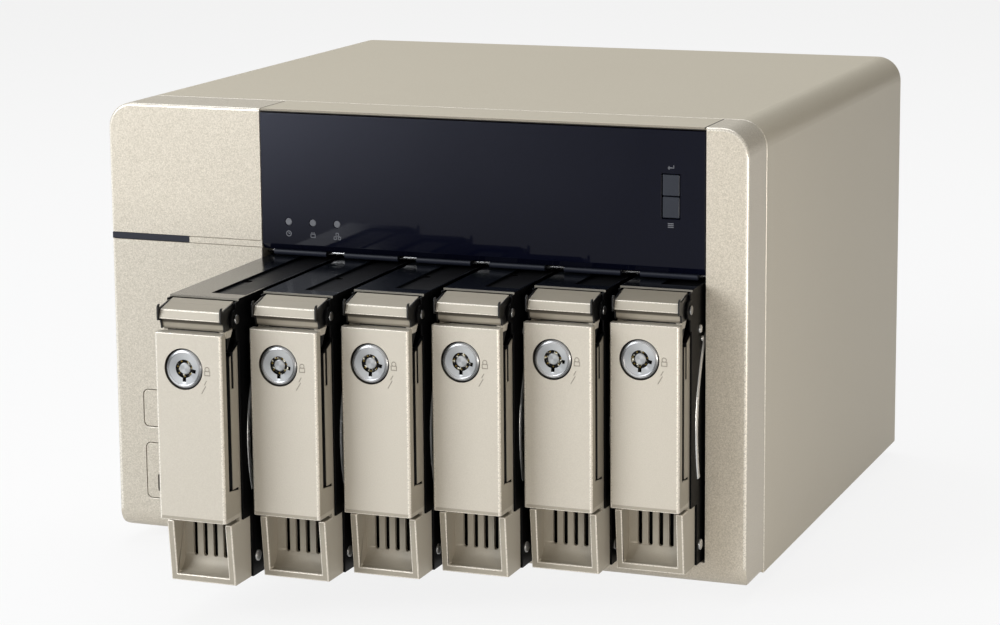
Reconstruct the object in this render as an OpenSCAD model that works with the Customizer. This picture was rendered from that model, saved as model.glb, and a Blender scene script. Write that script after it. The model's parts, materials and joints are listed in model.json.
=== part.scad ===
/* [Case] */
// Width of the case
case_w = 257; // [250:1:300]
// Height of the case above its feet
case_h = 170; // [165:1:200]
// Depth from the bezel's face to the rear rim
case_d = 235; // [230:1:280]
// Radius of the case's upper corners
corner_r = 10; // [5:0.5:14]
// Thickness of the sheet metal
sheet = 1.2; // [0.8:0.1:2]
// Width of the cover's rear rim
rim_w = 9; // [8:0.5:11]
// Height of the base pan's side flanges
pan_flange = 14; // [8:1:20]
// Height of a foot
foot_h = 5; // [3:0.5:10]
// Diameter of a foot
foot_d = 18; // [14:1:24]
// Distance of a foot's centre from the case's sides
foot_inset = 24; // [18:1:40]

/* [Front bezel] */
// Depth of the bezel
bezel_d = 24; // [20:0.5:30]
// Wall thickness of the bezel
bezel_wall = 2.4; // [1.8:0.1:3]
// Width of the panel left of the bays
left_panel_w = 64.7; // [62:0.1:66]
// Height of the sill under the bays
sill_h = 9.2; // [8:0.1:12]
// Radius of the bezel's lower front edge
sill_r = 8; // [3:0.5:8]
// Radius of the bezel's lower corners
foot_corner_r = 3; // [1:0.5:5]
// Width of the seams between the panels
seam = 0.3; // [0.2:0.05:0.5]
// Height of the accent line across the left panel
accent_h = 2.8; // [2:0.1:4]
// Length of the dark light bar in the accent line
light_bar_l = 33.7; // [20:0.1:45]

/* [Panel buttons] */
// Distance of the button column's centre from the case's left side
button_inset = 24.2; // [22:0.1:30]
// Width of the power button
power_w = 25; // [18:0.5:27]
// Height of the power button
power_h = 14.6; // [10:0.2:18]
// Height of the power button's centre above the case's bottom
power_z = 49.7; // [48:0.1:60]
// Width of the copy button
copy_w = 24; // [20:0.5:26]
// Height of the copy button
copy_h = 22.1; // [18:0.1:24]
// Height of the copy button's centre above the case's bottom
copy_z = 24.6; // [23:0.1:27]
// Corner radius of the panel buttons
button_r = 2; // [0.5:0.1:3]
// Travel of the panel buttons
button_travel = 1.2; // [0.6:0.1:1.5]
// Width of the opening round the front socket
usb_hole_w = 14.6; // [14:0.1:16]
// Height of the opening round the front socket
usb_hole_h = 7.1; // [6.6:0.1:8]
// Drop of the front socket below the copy button's centre
usb_drop = 4.8; // [0:0.1:5]

/* [Display] */
// Thickness of the smoked window
window_t = 3; // [2:0.1:4]
// Height of the window's lower chamfer
lip_h = 2.2; // [1:0.1:3]
// Thickness of the trim above the window
trim_t = 1.2; // [1:0.1:2]
// Diameter of a status lens
lens_d = 2.7; // [2:0.1:4]
// Distance between the status lenses
lens_pitch = 10.05; // [8:0.05:14]
// Distance of the first lens from the window's left end
lens_inset = 11.3; // [8:0.1:20]
// Height of the lenses above the window's lower edge
lens_up = 10.9; // [8:0.1:16]
// Width of a window key
key_w = 6.5; // [5:0.1:9]
// Height of a window key
key_h = 7.8; // [5:0.1:9]
// Distance of the keys from the window's right end
key_inset = 9.9; // [7:0.1:20]
// Height of the line between the keys above the window's middle
key_up = 2.05; // [-6:0.05:8]
// Travel of a window key
key_travel = 0.6; // [0.3:0.1:0.9]

/* [Light bars and latch rod] */
// Diameter of a bay's light bar
bar_d = 2.6; // [2:0.1:3.2]
// Length of a bay's light bar
bar_l = 22; // [16:0.5:26]
// Set-back of the light bars' centre line
bar_y = 3.6; // [3:0.1:5]
// Diameter of the latch rod
rod_d = 2.2; // [1.6:0.1:2.6]

/* [Trays] */
// Distance between neighbouring bays
bay_pitch = 29.4; // [29:0.1:30.5]
// Pull-out of the first tray
tray_1_pull = 92; // [0:0.5:140]
// Pull-out of the second tray
tray_2_pull = 76.5; // [0:0.5:140]
// Pull-out of the third tray
tray_3_pull = 63; // [0:0.5:140]
// Pull-out of the fourth tray
tray_4_pull = 50; // [0:0.5:140]
// Pull-out of the fifth tray
tray_5_pull = 35.5; // [0:0.5:140]
// Pull-out of the sixth tray
tray_6_pull = 26; // [0:0.5:140]
// Wall thickness of a carrier
tray_wall = 0.7; // [0.5:0.1:0.9]
// Thickness of a carrier's floor
tray_floor = 1; // [0.7:0.1:1.4]
// Thickness of a carrier's roof
tray_roof = 0.8; // [0.6:0.1:1.2]
// Width of the roof plate beside the open recess
roof_w = 13; // [10:0.5:16]
// Height of the finger scoop
scoop_h = 22.9; // [18:0.1:26]
// Set-back of the finger scoop behind the lever
scoop_in = 5; // [4:0.1:6]
// Lean of the finger scoop's front over its height
scoop_lean = 2.3; // [0:0.1:3]
// Width of the frame round the finger scoop
scoop_frame = 2.6; // [2:0.1:4]
// Set-back of the wall behind the lever
back_in = 13.6; // [13:0.1:14.5]
// Depth of the finger scoop's side walls
scoop_d = 15; // [14:0.1:16]
// Width of a vent slot
vent_w = 1.75; // [1:0.05:2.5]
// Distance between the vent slots
vent_pitch = 4; // [3:0.1:4.6]
// Wall thickness of a tray's face
face_wall = 1.4; // [1:0.1:1.6]

/* [Levers] */
// Gap between the finger scoop and the lever
lever_gap = 1.7; // [1:0.1:3]
// Drop of the lever's top below the carrier's roof
lever_drop = 10.9; // [10.4:0.1:13]
// Depth of the lever's sides
lever_d = 6; // [5:0.1:7]
// Depth of the lever's lower end
heel_d = 11.5; // [9:0.1:11.6]
// Height of the lever's deep lower end
heel_h = 10; // [6:0.1:14]
// Thickness of the lever's plate
lever_t = 2.2; // [1.6:0.1:3]
// Thickness of the lever's sides
lever_side = 1.4; // [1:0.1:2]
// Bevel along the lever's front edges
lever_bevel = 0.6; // [0.2:0.1:1]
// Height of the cap above the lever's top
cap_h = 9.3; // [8.6:0.1:9.6]
// Set-back of the cap's brow behind the lever's face
brow_in = 2; // [1:0.1:3]
// Height of the brow's lower edge above the lever's top
brow_up = 4.5; // [3.6:0.1:5.4]
// Height of the brow
brow_h = 3.2; // [2:0.1:3.6]
// Slot between the lever's top and the cap
cap_slot = 0.5; // [0.4:0.1:1]
// Thickness of a cam plate
cam_t = 0.6; // [0.4:0.1:0.8]
// Set-back of the hinge pin behind the lever's face
pin_in = 11.5; // [11:0.1:12]
// Height of the hinge pin above the lever's top
pin_up = 4; // [3.5:0.1:4.5]
// Diameter of the hinge pin
pin_d = 2.5; // [2:0.1:3]

/* [Locks] */
// Diameter of a lock's recess
lock_recess_d = 15; // [14:0.1:16]
// Diameter of a lock's face
lock_d = 14.2; // [12:0.1:15]
// Diameter of a lock's barrel
barrel_d = 11; // [9:0.1:12]
// Length of a lock's barrel behind the lever's face
barrel_l = 9; // [8:0.1:10]
// Offset of the lock to the left of the lever's middle
lock_left = 1.8; // [0:0.1:2.5]
// Drop of the lock's centre below the lever's top
lock_drop = 12.7; // [11:0.1:20]

/* [Drives] */
// Length of a drive
drive_l = 147; // [140:1:150]
// Width of a drive, which stands upright
drive_h = 101.6; // [100:0.1:103]
// Thickness of a drive
drive_t = 25.4; // [20:0.1:26]

/* [Inside] */
// Side of a square fan
fan_w = 86; // [80:1:87]
// Thickness of a fan
fan_t = 25; // [20:1:25]
// Thickness of a circuit board
board_t = 1.6; // [1:0.1:2]
// Width of the power supply
psu_w = 50; // [40:1:55]
// Height of the power supply
psu_h = 81.5; // [70:0.5:100]
// Length of the power supply
psu_l = 150; // [100:1:160]
// Thickness of the cage's sheet and guide ribs
cage_t = 1; // [0.8:0.1:1.2]
// Height of a guide rib
rib_h = 5; // [3:0.5:8]

/* [Clearances] */
// Room above and below a sliding tray
slide_gap = 0.4; // [0.3:0.05:0.6]
// Gap between pieces that are fixed together
fit_gap = 0.2; // [0.1:0.05:0.3]
// Gap beside a turning or pressed piece
run_gap = 0.3; // [0.25:0.05:0.4]
// Radial gap of a pin in its bore
pin_gap = 0.08; // [0.05:0.01:0.15]

/* [Hidden] */
$fn = 64;
cut = 1;
champagne = "#b3a993";
black = "#1b1c1e";
smoke = "#14161d";
steel = "#b9bcbf";
grey = "#6f7276";
green = "#1f5a3a";

bay_count = 6;
tray_pull = [tray_1_pull, tray_2_pull, tray_3_pull, tray_4_pull, tray_5_pull, tray_6_pull];

// Places across the case
half_w = case_w / 2;
bay_x0 = -half_w + left_panel_w;
bay_x1 = bay_x0 + bay_count * bay_pitch;
button_x = -half_w + button_inset;
light_bar_x1 = -half_w + light_bar_l;
light_bar_y1 = bezel_wall / 2 + fit_gap;
function bay_x(i) = bay_x0 + (i + 0.5) * bay_pitch;

// Heights of a tray and of what lies above it
tray_w = drive_t + 2 * (tray_wall + fit_gap);
tray_z0 = sill_h + slide_gap;
drive_z0 = tray_z0 + tray_floor;
tray_z1 = drive_z0 + drive_h + fit_gap + tray_roof;
bar_z = tray_z1 + slide_gap + bar_d / 2;
window_z0 = bar_z + bar_d / 2;
window_z1 = case_h - trim_t - seam;
cage_z1 = tray_z1 + slide_gap + cage_t;
accent_z0 = window_z0 + seam;
accent_z1 = accent_z0 + accent_h;

// Depths of a tray, counted from the face of its lever
wall_lap = 4.3;
side_lap = 2.4;
wall_cut = 4.5;
roof_back = 2.4;
drive_out = 1;
wall_in = heel_d - wall_lap;
wall_out = scoop_in + scoop_d - wall_cut;
side_in = wall_out - side_lap;
frame_in = scoop_in + scoop_d + fit_gap;
drive_in = frame_in + tray_wall + fit_gap;
tray_l = drive_in + drive_l - drive_out;
roof_in = pin_in + roof_back;

// Depths of the case
plug_d = 6.4;
plug_gap = 0.6;
plug_w = 5;
plug_h = 42;
plug_up = 30;
plug_room = 0.5;
lcd_gap = 8;
cage_y0 = bezel_d + fit_gap;
cage_y1 = drive_in + drive_l + plug_gap + plug_d;
panel_y0 = case_d - 2 * sheet;
panel_y1 = case_d - sheet;
fan_y0 = panel_y0 - fan_t;
rod_y = bar_y + bar_d / 2 + run_gap + rod_d / 2;
rod_x0 = bay_x0 - bezel_wall;
rod_x1 = bay_x1 + bezel_wall;
board_y = window_t + lcd_gap;

// A screw's head and thread
screw_head_d = 5.6;
screw_head_h = 1.8;
screw_d = 2.9;
screw_l = 8;
screw_hole_d = screw_d + 2 * fit_gap;

// Levers and locks
face_side = 0.8;
lever_side_in = 0.6;
wall_drop = 5;
face_w = tray_w - 2 * face_side;
lever_w = tray_w - 2 * lever_side_in;
lever_z0 = tray_z0 + scoop_h + lever_gap;
lever_z1 = tray_z1 - lever_drop;
cap_w = tray_w - 2 * (tray_wall + run_gap + cam_t);
pin_z = lever_z1 + pin_up;
lock_z = lever_z1 - lock_drop;
wall_top = lever_z1 - wall_drop;

// Mainboard over the cage, and the sockets on it
board_post_h = 5;
board_room = 2;
socket_l = 18;
socket_out = 0.5;
board_z0 = cage_z1 + board_post_h;
board_z1 = board_z0 + board_t;
board_y0 = 70;
board_y1 = panel_y0 - board_room;
socket_y0 = panel_y0 - socket_l;
socket_y1 = panel_y1 + socket_out;
usb_w = 13.2;
usb_h = 5.8;
usb_l = 14;
usb_split = 3;
lan_w = 16;
lan_h = 13.5;
hdmi_w = 15;
hdmi_h = 6;
lan_inset = 40;
lan_to_usb = 40;
usb_step = 22;
usb_to_hdmi = 26;
lan_x = bay_x1 - lan_inset;
usb_x = [lan_x - lan_to_usb, lan_x - lan_to_usb - usb_step];
hdmi_x = usb_x[1] - usb_to_hdmi;

// Power supply at the left, and two fans between it and the cover's right side
psu_room = 2;
psu_x0 = -half_w + rim_w + psu_room;
psu_x1 = psu_x0 + psu_w;
psu_z0 = sheet;
fan_up = 16;
fan_gap = 1;
fan_mid = (psu_x1 + half_w - sheet) / 2;
fan_x = [for (s = [-1, 1]) fan_mid + s * (fan_w + fan_gap) / 2];
fan_z = sheet + fan_up + fan_w / 2;
hub_d = 34;
shaft_d = 3;
inlet_x = psu_x0 + psu_w / 2;
inlet_up = 24;
inlet_z = psu_z0 + inlet_up;
inlet_w = 24.6;
inlet_h = 16.8;
inlet_d = 15;

// Air slots of the power supply, as X and Z
psu_slot_w = 5.6;
psu_slot_h = 3;
psu_slot_pitch = [8, 6];
psu_slot_drop = 10;
psu_slot_top = psu_z0 + psu_h - psu_slot_drop;
psu_slots = [
    for (row = [0:4], column = [-2:2])
        [inlet_x + column * psu_slot_pitch[0], psu_slot_top - row * psu_slot_pitch[1]]
];

// The frame's origin: middle of the footprint box, on the surface the feet stand on
rear_reach = case_d + screw_head_h;
front_y = (max(tray_pull) - rear_reach) / 2;

case_nodes = [
    "cover", "base_pan", "rear_panel", "front_bezel", "display_trim", "display_window",
    "status_light_bar", "indicator_lenses", "latch_rod", "lcd_module",
    "enter_button", "select_button", "power_button", "copy_button", "port_sockets",
    "drive_cage", "backplane", "mainboard", "power_supply",
    "fan_frames", "fan_rotor_left", "fan_rotor_right", "feet", "case_screws"
];
tray_pieces = ["carrier", "face", "lever", "latch", "lock", "drive"];

// Shared shapes

// A box given by its lowest and highest corners
module block(lo, hi) {
    translate(lo) cube(hi - lo);
}

// An outline in X and Z, carried along Y
module along_y(y0, y1) {
    translate([0, y1, 0]) rotate([90, 0, 0]) linear_extrude(y1 - y0) children();
}

// An outline in Y and Z, carried along X
module along_x(x0, x1) {
    translate([x0, 0, 0]) rotate([90, 0, 90]) linear_extrude(x1 - x0) children();
}

// A round bar along Y
module rod_y(x, z, y0, y1, d) {
    translate([x, y1, z]) rotate([90, 0, 0]) cylinder(h = y1 - y0, d = d);
}

// A round bar along X
module rod_x(y, z, x0, x1, d) {
    translate([x0, y, z]) rotate([0, 90, 0]) cylinder(h = x1 - x0, d = d);
}

// The outline of a doorway: square below, round at both upper corners
module arch(w, h, r) {
    translate([-w / 2, 0]) square([w, h - r]);
    translate([-w / 2 + r, 0]) square([w - 2 * r, h]);
    for (s = [-1, 1]) translate([s * (w / 2 - r), h - r]) circle(r);
}

// A rectangle with four round corners, about its middle
module round_rect(w, h, r) {
    square([w, h - 2 * r], center = true);
    square([w - 2 * r, h], center = true);
    for (sx = [-1, 1], sy = [-1, 1]) translate([sx * (w / 2 - r), sy * (h / 2 - r)]) circle(r);
}

// A shape and its mirror image across the middle plane
module both_sides() {
    children();
    mirror([1, 0, 0]) children();
}

// Points of a quadratic curve from a to b, drawn towards c
function curve(a, c, b, n = 8) =
    [for (k = [0:n]) let (t = k / n) (1 - t) * (1 - t) * a + 2 * t * (1 - t) * c + t * t * b];

// Case

// Places of the screws that hold the cover's rim, as X and Z
rim_screw_up = 10;
rim_screw_drop = 40;
rim_screw_z = [rim_screw_up, case_h - rim_screw_drop];
rim_screws = concat(
    [for (s = [-1, 1], z = rim_screw_z) [s * (half_w - rim_w / 2), z]],
    [for (s = [-1, 1]) [s * half_w / 2, case_h - rim_w / 2]]
);

module cover() {
    rim_r = 2;
    color(champagne) difference() {
        along_y(bezel_d, case_d) arch(case_w, case_h, corner_r);
        along_y(bezel_d - cut, panel_y1)
            translate([0, -cut]) arch(case_w - 2 * sheet, case_h - sheet + cut, corner_r - sheet);
        along_y(panel_y1 - cut, case_d + cut)
            translate([0, -cut]) arch(case_w - 2 * rim_w, case_h - rim_w + cut, rim_r);
        for (p = rim_screws) rod_y(p[0], p[1], panel_y1 - cut, case_d + cut, screw_hole_d);
    }
}

// Places of the feet, as X and Y
foot_places = [
    for (s = [-1, 1], y = [bezel_d + foot_inset, case_d - foot_inset]) [s * (half_w - foot_inset), y]
];

module base_pan() {
    pan_x = half_w - sheet - fit_gap;
    pan_y0 = bezel_d + fit_gap;
    pan_y1 = panel_y0 - fit_gap;
    slot_w = 3;
    slot_l = 30;
    slot_count = 12;
    slot_pitch = (bay_x1 - bay_x0) / slot_count;
    color(grey) difference() {
        union() {
            block([-pan_x, pan_y0, 0], [pan_x, pan_y1, sheet]);
            both_sides() block([pan_x - sheet, pan_y0, 0], [pan_x, pan_y1, pan_flange]);
        }
        for (k = [0:slot_count - 1])
            translate([bay_x0 + (k + 0.5) * slot_pitch, (bezel_d + case_d) / 2, sheet / 2])
                cube([slot_w, slot_l, sheet + 2 * cut], center = true);
        for (p = foot_places)
            translate([p[0], p[1], -cut]) cylinder(h = sheet + 2 * cut, d = screw_hole_d);
    }
}

// Outline of one fan's grille: rings cut by four spokes
module grille() {
    ring_w = 3.6;
    bridge_w = 2.2;
    spoke_w = 3;
    edge_w = 2;
    hub_cover = 8;
    first_r = hub_d / 2 - hub_cover;
    rings = floor((fan_w / 2 - edge_w - first_r) / (ring_w + bridge_w));
    difference() {
        for (k = [0:rings - 1]) difference() {
            circle(first_r + k * (ring_w + bridge_w) + ring_w);
            circle(first_r + k * (ring_w + bridge_w));
        }
        for (a = [45, 135]) rotate(a) square([fan_w, spoke_w], center = true);
    }
}

// Places of a fan's four screws, about its middle
fan_screw_in = 5;
fan_screws = [for (sx = [-1, 1], sz = [-1, 1]) [sx, sz] * (fan_w / 2 - fan_screw_in)];

// A socket's opening in the rear panel, about its middle
module panel_hole(x, z, w, h) {
    translate([x, z]) square([w + 2 * run_gap, h + 2 * run_gap], center = true);
}

module rear_panel() {
    panel_w = case_w - 2 * (sheet + fit_gap);
    panel_h = case_h - sheet - 2 * fit_gap;
    inlet_rim = 2;
    color(grey) along_y(panel_y0, panel_y1) difference() {
        translate([0, fit_gap]) arch(panel_w, panel_h, corner_r - sheet);
        for (x = fan_x) translate([x, fan_z]) {
            grille();
            for (p = fan_screws) translate(p) circle(d = screw_hole_d);
        }
        for (p = rim_screws) translate(p) circle(d = screw_hole_d);
        panel_hole(lan_x, board_z1 + lan_h, 2 * lan_w, 2 * lan_h);
        for (x = usb_x) panel_hole(x, board_z1 + usb_h + usb_split / 2, usb_w, 2 * usb_h + usb_split);
        panel_hole(hdmi_x, board_z1 + hdmi_h / 2, hdmi_w, hdmi_h);
        translate([inlet_x, inlet_z])
            round_rect(inlet_w + 2 * inlet_rim, inlet_h + 2 * inlet_rim, inlet_rim);
        for (p = psu_slots) translate(p) square([psu_slot_w, psu_slot_h], center = true);
    }
}

// Front

module front_bezel() {
    depth = bezel_d - seam;
    accent_cut = 0.8;
    shell_z1 = case_h - bezel_wall - corner_r / 3;
    color(champagne) {
        difference() {
            intersection() {
                along_y(0, depth) difference() {
                    arch(case_w, case_h, corner_r);
                    both_sides() translate([half_w, 0]) difference() {
                        square(2 * foot_corner_r, center = true);
                        translate([-foot_corner_r, foot_corner_r]) circle(foot_corner_r);
                    }
                }
                along_x(-half_w - cut, half_w + cut) {
                    translate([0, sill_r]) square([depth, case_h]);
                    translate([sill_r, 0]) square([depth - sill_r, case_h]);
                    translate([sill_r, sill_r]) circle(sill_r);
                }
            }
            block([bay_x0, -cut, sill_h], [bay_x1, bezel_d, case_h + cut]);
            block([-half_w + bezel_wall, bezel_wall, sill_r], [bay_x0 - bezel_wall, bezel_d, shell_z1]);
            block([bay_x1 + bezel_wall, bezel_wall, sill_r], [half_w - bezel_wall, bezel_d, shell_z1]);
            block([bay_x0, sill_r, bezel_wall], [bay_x1, bezel_d, sill_h - bezel_wall]);
            block([-half_w - cut, -cut, accent_z0], [light_bar_x1, light_bar_y1, accent_z1]);
            for (z = [accent_z0, accent_z1 - seam])
                block([light_bar_x1 - cut, -cut, z], [bay_x0 + cut, accent_cut, z + seam]);
            along_y(-cut, bezel_wall + cut) {
                translate([button_x, power_z])
                    round_rect(power_w + 2 * run_gap, power_h + 2 * run_gap, button_r + run_gap);
                translate([button_x, copy_z])
                    round_rect(copy_w + 2 * run_gap, copy_h + 2 * run_gap, button_r + run_gap);
            }
            rod_x(rod_y, bar_z, rod_x0 - cut, rod_x1 + cut, rod_d + 2 * pin_gap);
        }
        for (s = [-1, 1])
            rod_y(button_x + s * usb_post_x, copy_z - usb_drop, bezel_wall, usb_board_y, usb_post_d);
    }
}

module display_trim() {
    flange_z = 14;
    color(champagne) {
        block([bay_x0 + seam, 0, case_h - trim_t], [bay_x1 - seam, bezel_d - seam, case_h]);
        block([bay_x0 + seam, board_y + board_t, case_h - flange_z],
              [bay_x1 - seam, board_y + 2 * board_t, case_h - trim_t]);
    }
}

lens_x = [for (k = [0:2]) bay_x0 + lens_inset + k * lens_pitch];
lens_z = window_z0 + lens_up;
key_x = bay_x1 - key_inset - key_w / 2;
key_z = (window_z0 + window_z1) / 2 + key_up;
key_split = 0.3;
switch_t = 2;

module display_window() {
    keys_w = key_w + 2 * run_gap;
    keys_h = 2 * (key_h + run_gap) + key_split;
    color(smoke) difference() {
        along_x(bay_x0 + seam, bay_x1 - seam)
            polygon([
                [0, window_z0 + lip_h], [window_t / 2, window_z0], [window_t, window_z0],
                [window_t, window_z1], [0, window_z1]
            ]);
        for (x = lens_x) rod_y(x, lens_z, -cut, window_t + cut, lens_d + 2 * pin_gap);
        translate([key_x, window_t / 2, key_z]) cube([keys_w, window_t + 2 * cut, keys_h], center = true);
    }
}

module status_light_bar() {
    color(black)
        block([-half_w + fit_gap, fit_gap, accent_z0 + fit_gap],
              [light_bar_x1 - fit_gap, light_bar_y1, accent_z1 - fit_gap]);
}

module indicator_lenses() {
    stem_t = 1.2;
    stem_h = 6;
    color(smoke) {
        for (x = lens_x) rod_y(x, lens_z, fit_gap, board_y, lens_d);
        for (i = [0:bay_count - 1]) {
            rod_x(bar_y, bar_z, bay_x(i) - bar_l / 2, bay_x(i) + bar_l / 2, bar_d);
            block([bay_x(i) - bar_l / 2, window_t + fit_gap, bar_z],
                  [bay_x(i) + bar_l / 2, window_t + fit_gap + stem_t, bar_z + stem_h]);
        }
    }
}

module latch_rod() {
    color(steel) rod_x(rod_y, bar_z, rod_x0, rod_x1, rod_d);
}

module lcd_module() {
    margin = 6;
    boss_d = 5;
    screen_w = 70;
    screen_h = 24;
    switch_w = 5;
    mid_x = (bay_x0 + bay_x1) / 2;
    board_low = window_z0 + margin + 1;
    board_high = window_z1 - margin;
    color(green) {
        block([bay_x0 + margin, board_y, board_low], [bay_x1 - margin, board_y + board_t, board_high]);
        translate([mid_x, (window_t + fit_gap + board_y) / 2, (board_low + board_high) / 2])
            cube([screen_w, board_y - window_t - fit_gap, screen_h], center = true);
        for (x = [bay_x0 + 2 * margin, key_x - key_w / 2 - 2 * boss_d])
            rod_y(x, board_high - margin, window_t, board_y, boss_d);
        for (s = [-1, 1])
            translate([key_x, board_y - switch_t / 2, key_z + s * (key_h + key_split) / 2])
                cube([switch_w, switch_t, switch_w], center = true);
    }
}

// A window key: face, side flanges behind the window, and a stem to its switch
module window_key(z) {
    flange_w = 1.2;
    flange_t = 0.9;
    stem_d = 3;
    flange_y0 = window_t + run_gap;
    flange_y1 = flange_y0 + flange_t;
    translate([key_x, 0, z]) {
        along_y(fit_gap, flange_y0) square([key_w, key_h], center = true);
        along_y(flange_y0, flange_y1) square([key_w + 2 * flange_w, key_h], center = true);
        rod_y(0, 0, flange_y1, board_y - switch_t - key_travel - run_gap, stem_d);
    }
}

module enter_button() {
    color(smoke) window_key(key_z + (key_h + key_split) / 2);
}

module select_button() {
    color(smoke) window_key(key_z - (key_h + key_split) / 2);
}

// Thickness of a panel button's flange
flange_t = 1;

// A panel button's face and the flange that holds it behind the bezel
module panel_button(w, h) {
    flange_w = 1.4;
    along_y(0, bezel_wall + run_gap) round_rect(w, h, button_r);
    along_y(bezel_wall + run_gap, bezel_wall + run_gap + flange_t)
        round_rect(w + 2 * flange_w, h + 2 * flange_w, button_r);
}

module power_button() {
    plunger_d = 6;
    plunger_l = 5;
    color(champagne) translate([button_x, 0, power_z]) {
        panel_button(power_w, power_h);
        rod_y(0, 0, bezel_wall + run_gap, bezel_wall + run_gap + plunger_l, plunger_d);
    }
}

module copy_button() {
    hole_r = 1;
    color(champagne) translate([button_x, 0, copy_z]) difference() {
        panel_button(copy_w, copy_h);
        along_y(-cut, bezel_wall + run_gap + flange_t + cut)
            translate([0, -usb_drop]) round_rect(usb_hole_w, usb_hole_h, hole_r);
    }
}

usb_post_d = 5;
usb_post_out = 5;
usb_board_gap = 3;
usb_post_x = copy_w / 2 + usb_post_out;
usb_board_y = bezel_wall + button_travel + usb_board_gap;
usb_front_y = 0.8;

// A socket's shell with its tongue, opening towards -Y at y = 0
module usb_socket() {
    shell_t = 0.4;
    back_t = 4;
    tongue_side = 1.2;
    tongue_drop = 0.9;
    tongue_w = usb_w - 2 * tongue_side;
    tongue_t = 1.9;
    tongue_in = 1.5;
    tongue_z = usb_h / 2 - shell_t - tongue_drop - tongue_t / 2;
    difference() {
        along_y(0, usb_l) square([usb_w, usb_h], center = true);
        along_y(-cut, usb_l - back_t) square([usb_w - 2 * shell_t, usb_h - 2 * shell_t], center = true);
    }
    along_y(tongue_in, usb_l - back_t + cut)
        translate([0, tongue_z]) square([tongue_w, tongue_t], center = true);
}

module port_sockets() {
    board_w = 2 * usb_post_x + usb_post_d;
    board_h = 10;
    pocket_w = 11.8;
    pocket_h = 8.2;
    pocket_d = 12;
    hdmi_wall = 0.65;
    hdmi_d = 8;
    color(steel) {
        translate([button_x, 0, copy_z - usb_drop]) {
            translate([0, usb_front_y, 0]) usb_socket();
            along_y(usb_board_y, usb_board_y + board_t) difference() {
                square([board_w, board_h], center = true);
                square([usb_w, usb_h], center = true);
            }
        }
        translate([lan_x, 0, board_z1]) difference() {
            block([-lan_w, socket_y0, 0], [lan_w, socket_y1, 2 * lan_h]);
            for (sx = [-1, 1], row = [0, 1])
                translate([sx * lan_w / 2, socket_y1 - pocket_d / 2, (row + 0.5) * lan_h])
                    cube([pocket_w, pocket_d + cut, pocket_h], center = true);
        }
        for (x = usb_x) translate([x, socket_y1, board_z1]) {
            for (row = [0, 1])
                translate([0, 0, row * (usb_h + usb_split) + usb_h / 2]) rotate([0, 0, 180]) usb_socket();
            block([-usb_w / 2, -usb_l, usb_h], [usb_w / 2, 0, usb_h + usb_split]);
        }
        translate([hdmi_x, 0, board_z1 + hdmi_h / 2]) difference() {
            along_y(socket_y0, socket_y1) square([hdmi_w, hdmi_h], center = true);
            along_y(socket_y1 - hdmi_d, socket_y1 + cut)
                square([hdmi_w - 2 * hdmi_wall, hdmi_h - 2 * hdmi_wall], center = true);
        }
    }
}

// Inside

module drive_cage() {
    foot_w = 10;
    rib_y1 = cage_y1 - plug_d;
    roof_z = cage_z1 - cage_t;
    color(black) {
        for (x = [bay_x0 - cage_t, bay_x1])
            block([x, cage_y0, sheet], [x + cage_t, cage_y1, cage_z1]);
        block([bay_x1, cage_y0, sheet], [bay_x1 + foot_w, cage_y1, sheet + cage_t]);
        block([bay_x0, cage_y0, sill_h - cage_t], [bay_x1, cage_y1, sill_h]);
        block([bay_x0, cage_y0, roof_z], [bay_x1, cage_y1, cage_z1]);
        for (i = [1:bay_count - 1]) translate([bay_x0 + i * bay_pitch, 0, 0]) {
            block([-cage_t / 2, cage_y0, sill_h], [cage_t / 2, rib_y1, sill_h + rib_h]);
            block([-cage_t / 2, cage_y0, roof_z - rib_h], [cage_t / 2, rib_y1, roof_z]);
        }
    }
}

module backplane() {
    plug_z = tray_z0 + plug_up;
    air_w = 16;
    air_h = 28;
    air_drop = 17;
    air_z = tray_z1 - air_drop;
    color(green) difference() {
        union() {
            block([bay_x0, cage_y1, sill_h], [bay_x1, cage_y1 + board_t, cage_z1]);
            for (i = [0:bay_count - 1]) translate([bay_x(i), 0, plug_z])
                block([-plug_w / 2, cage_y1 - plug_d, 0], [plug_w / 2, cage_y1, plug_h]);
        }
        for (i = [0:bay_count - 1])
            translate([bay_x(i), cage_y1, air_z]) cube([air_w, 4 * board_t, air_h], center = true);
    }
}

module mainboard() {
    post_d = 5;
    post_in = 8;
    sink_w = 50;
    sink_h = 24;
    sink_base = 4;
    sink_in = [60, 40];
    sink_place = [bay_x0 + sink_in[0], board_y0 + sink_in[1], board_z1];
    fin_t = 1.2;
    fin_count = 10;
    fin_pitch = (sink_w - fin_t) / (fin_count - 1);
    stick_l = 68;
    stick_h = 30;
    stick_t = 4;
    stick_in = 50;
    stick_step = 12;
    stick_x = [bay_x1 - stick_in, bay_x1 - stick_in + stick_step];
    stick_back = 10;
    stick_y = board_y0 + stick_back;
    color(green) {
        block([bay_x0, board_y0, board_z0], [bay_x1, board_y1, board_z1]);
        for (x = [bay_x0 + post_in, bay_x1 - post_in], y = [board_y0 + post_in, cage_y1 - post_in])
            translate([x, y, cage_z1]) cylinder(h = board_z0 - cage_z1, d = post_d);
        for (x = stick_x) translate([x, stick_y, board_z1]) cube([stick_t, stick_l, stick_h]);
    }
    color(steel) translate(sink_place) {
        block([-sink_w / 2, -sink_w / 2, 0], [sink_w / 2, sink_w / 2, sink_base]);
        for (k = [0:fin_count - 1])
            translate([-sink_w / 2 + k * fin_pitch, -sink_w / 2, 0]) cube([fin_t, sink_w, sink_h]);
    }
}

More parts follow.
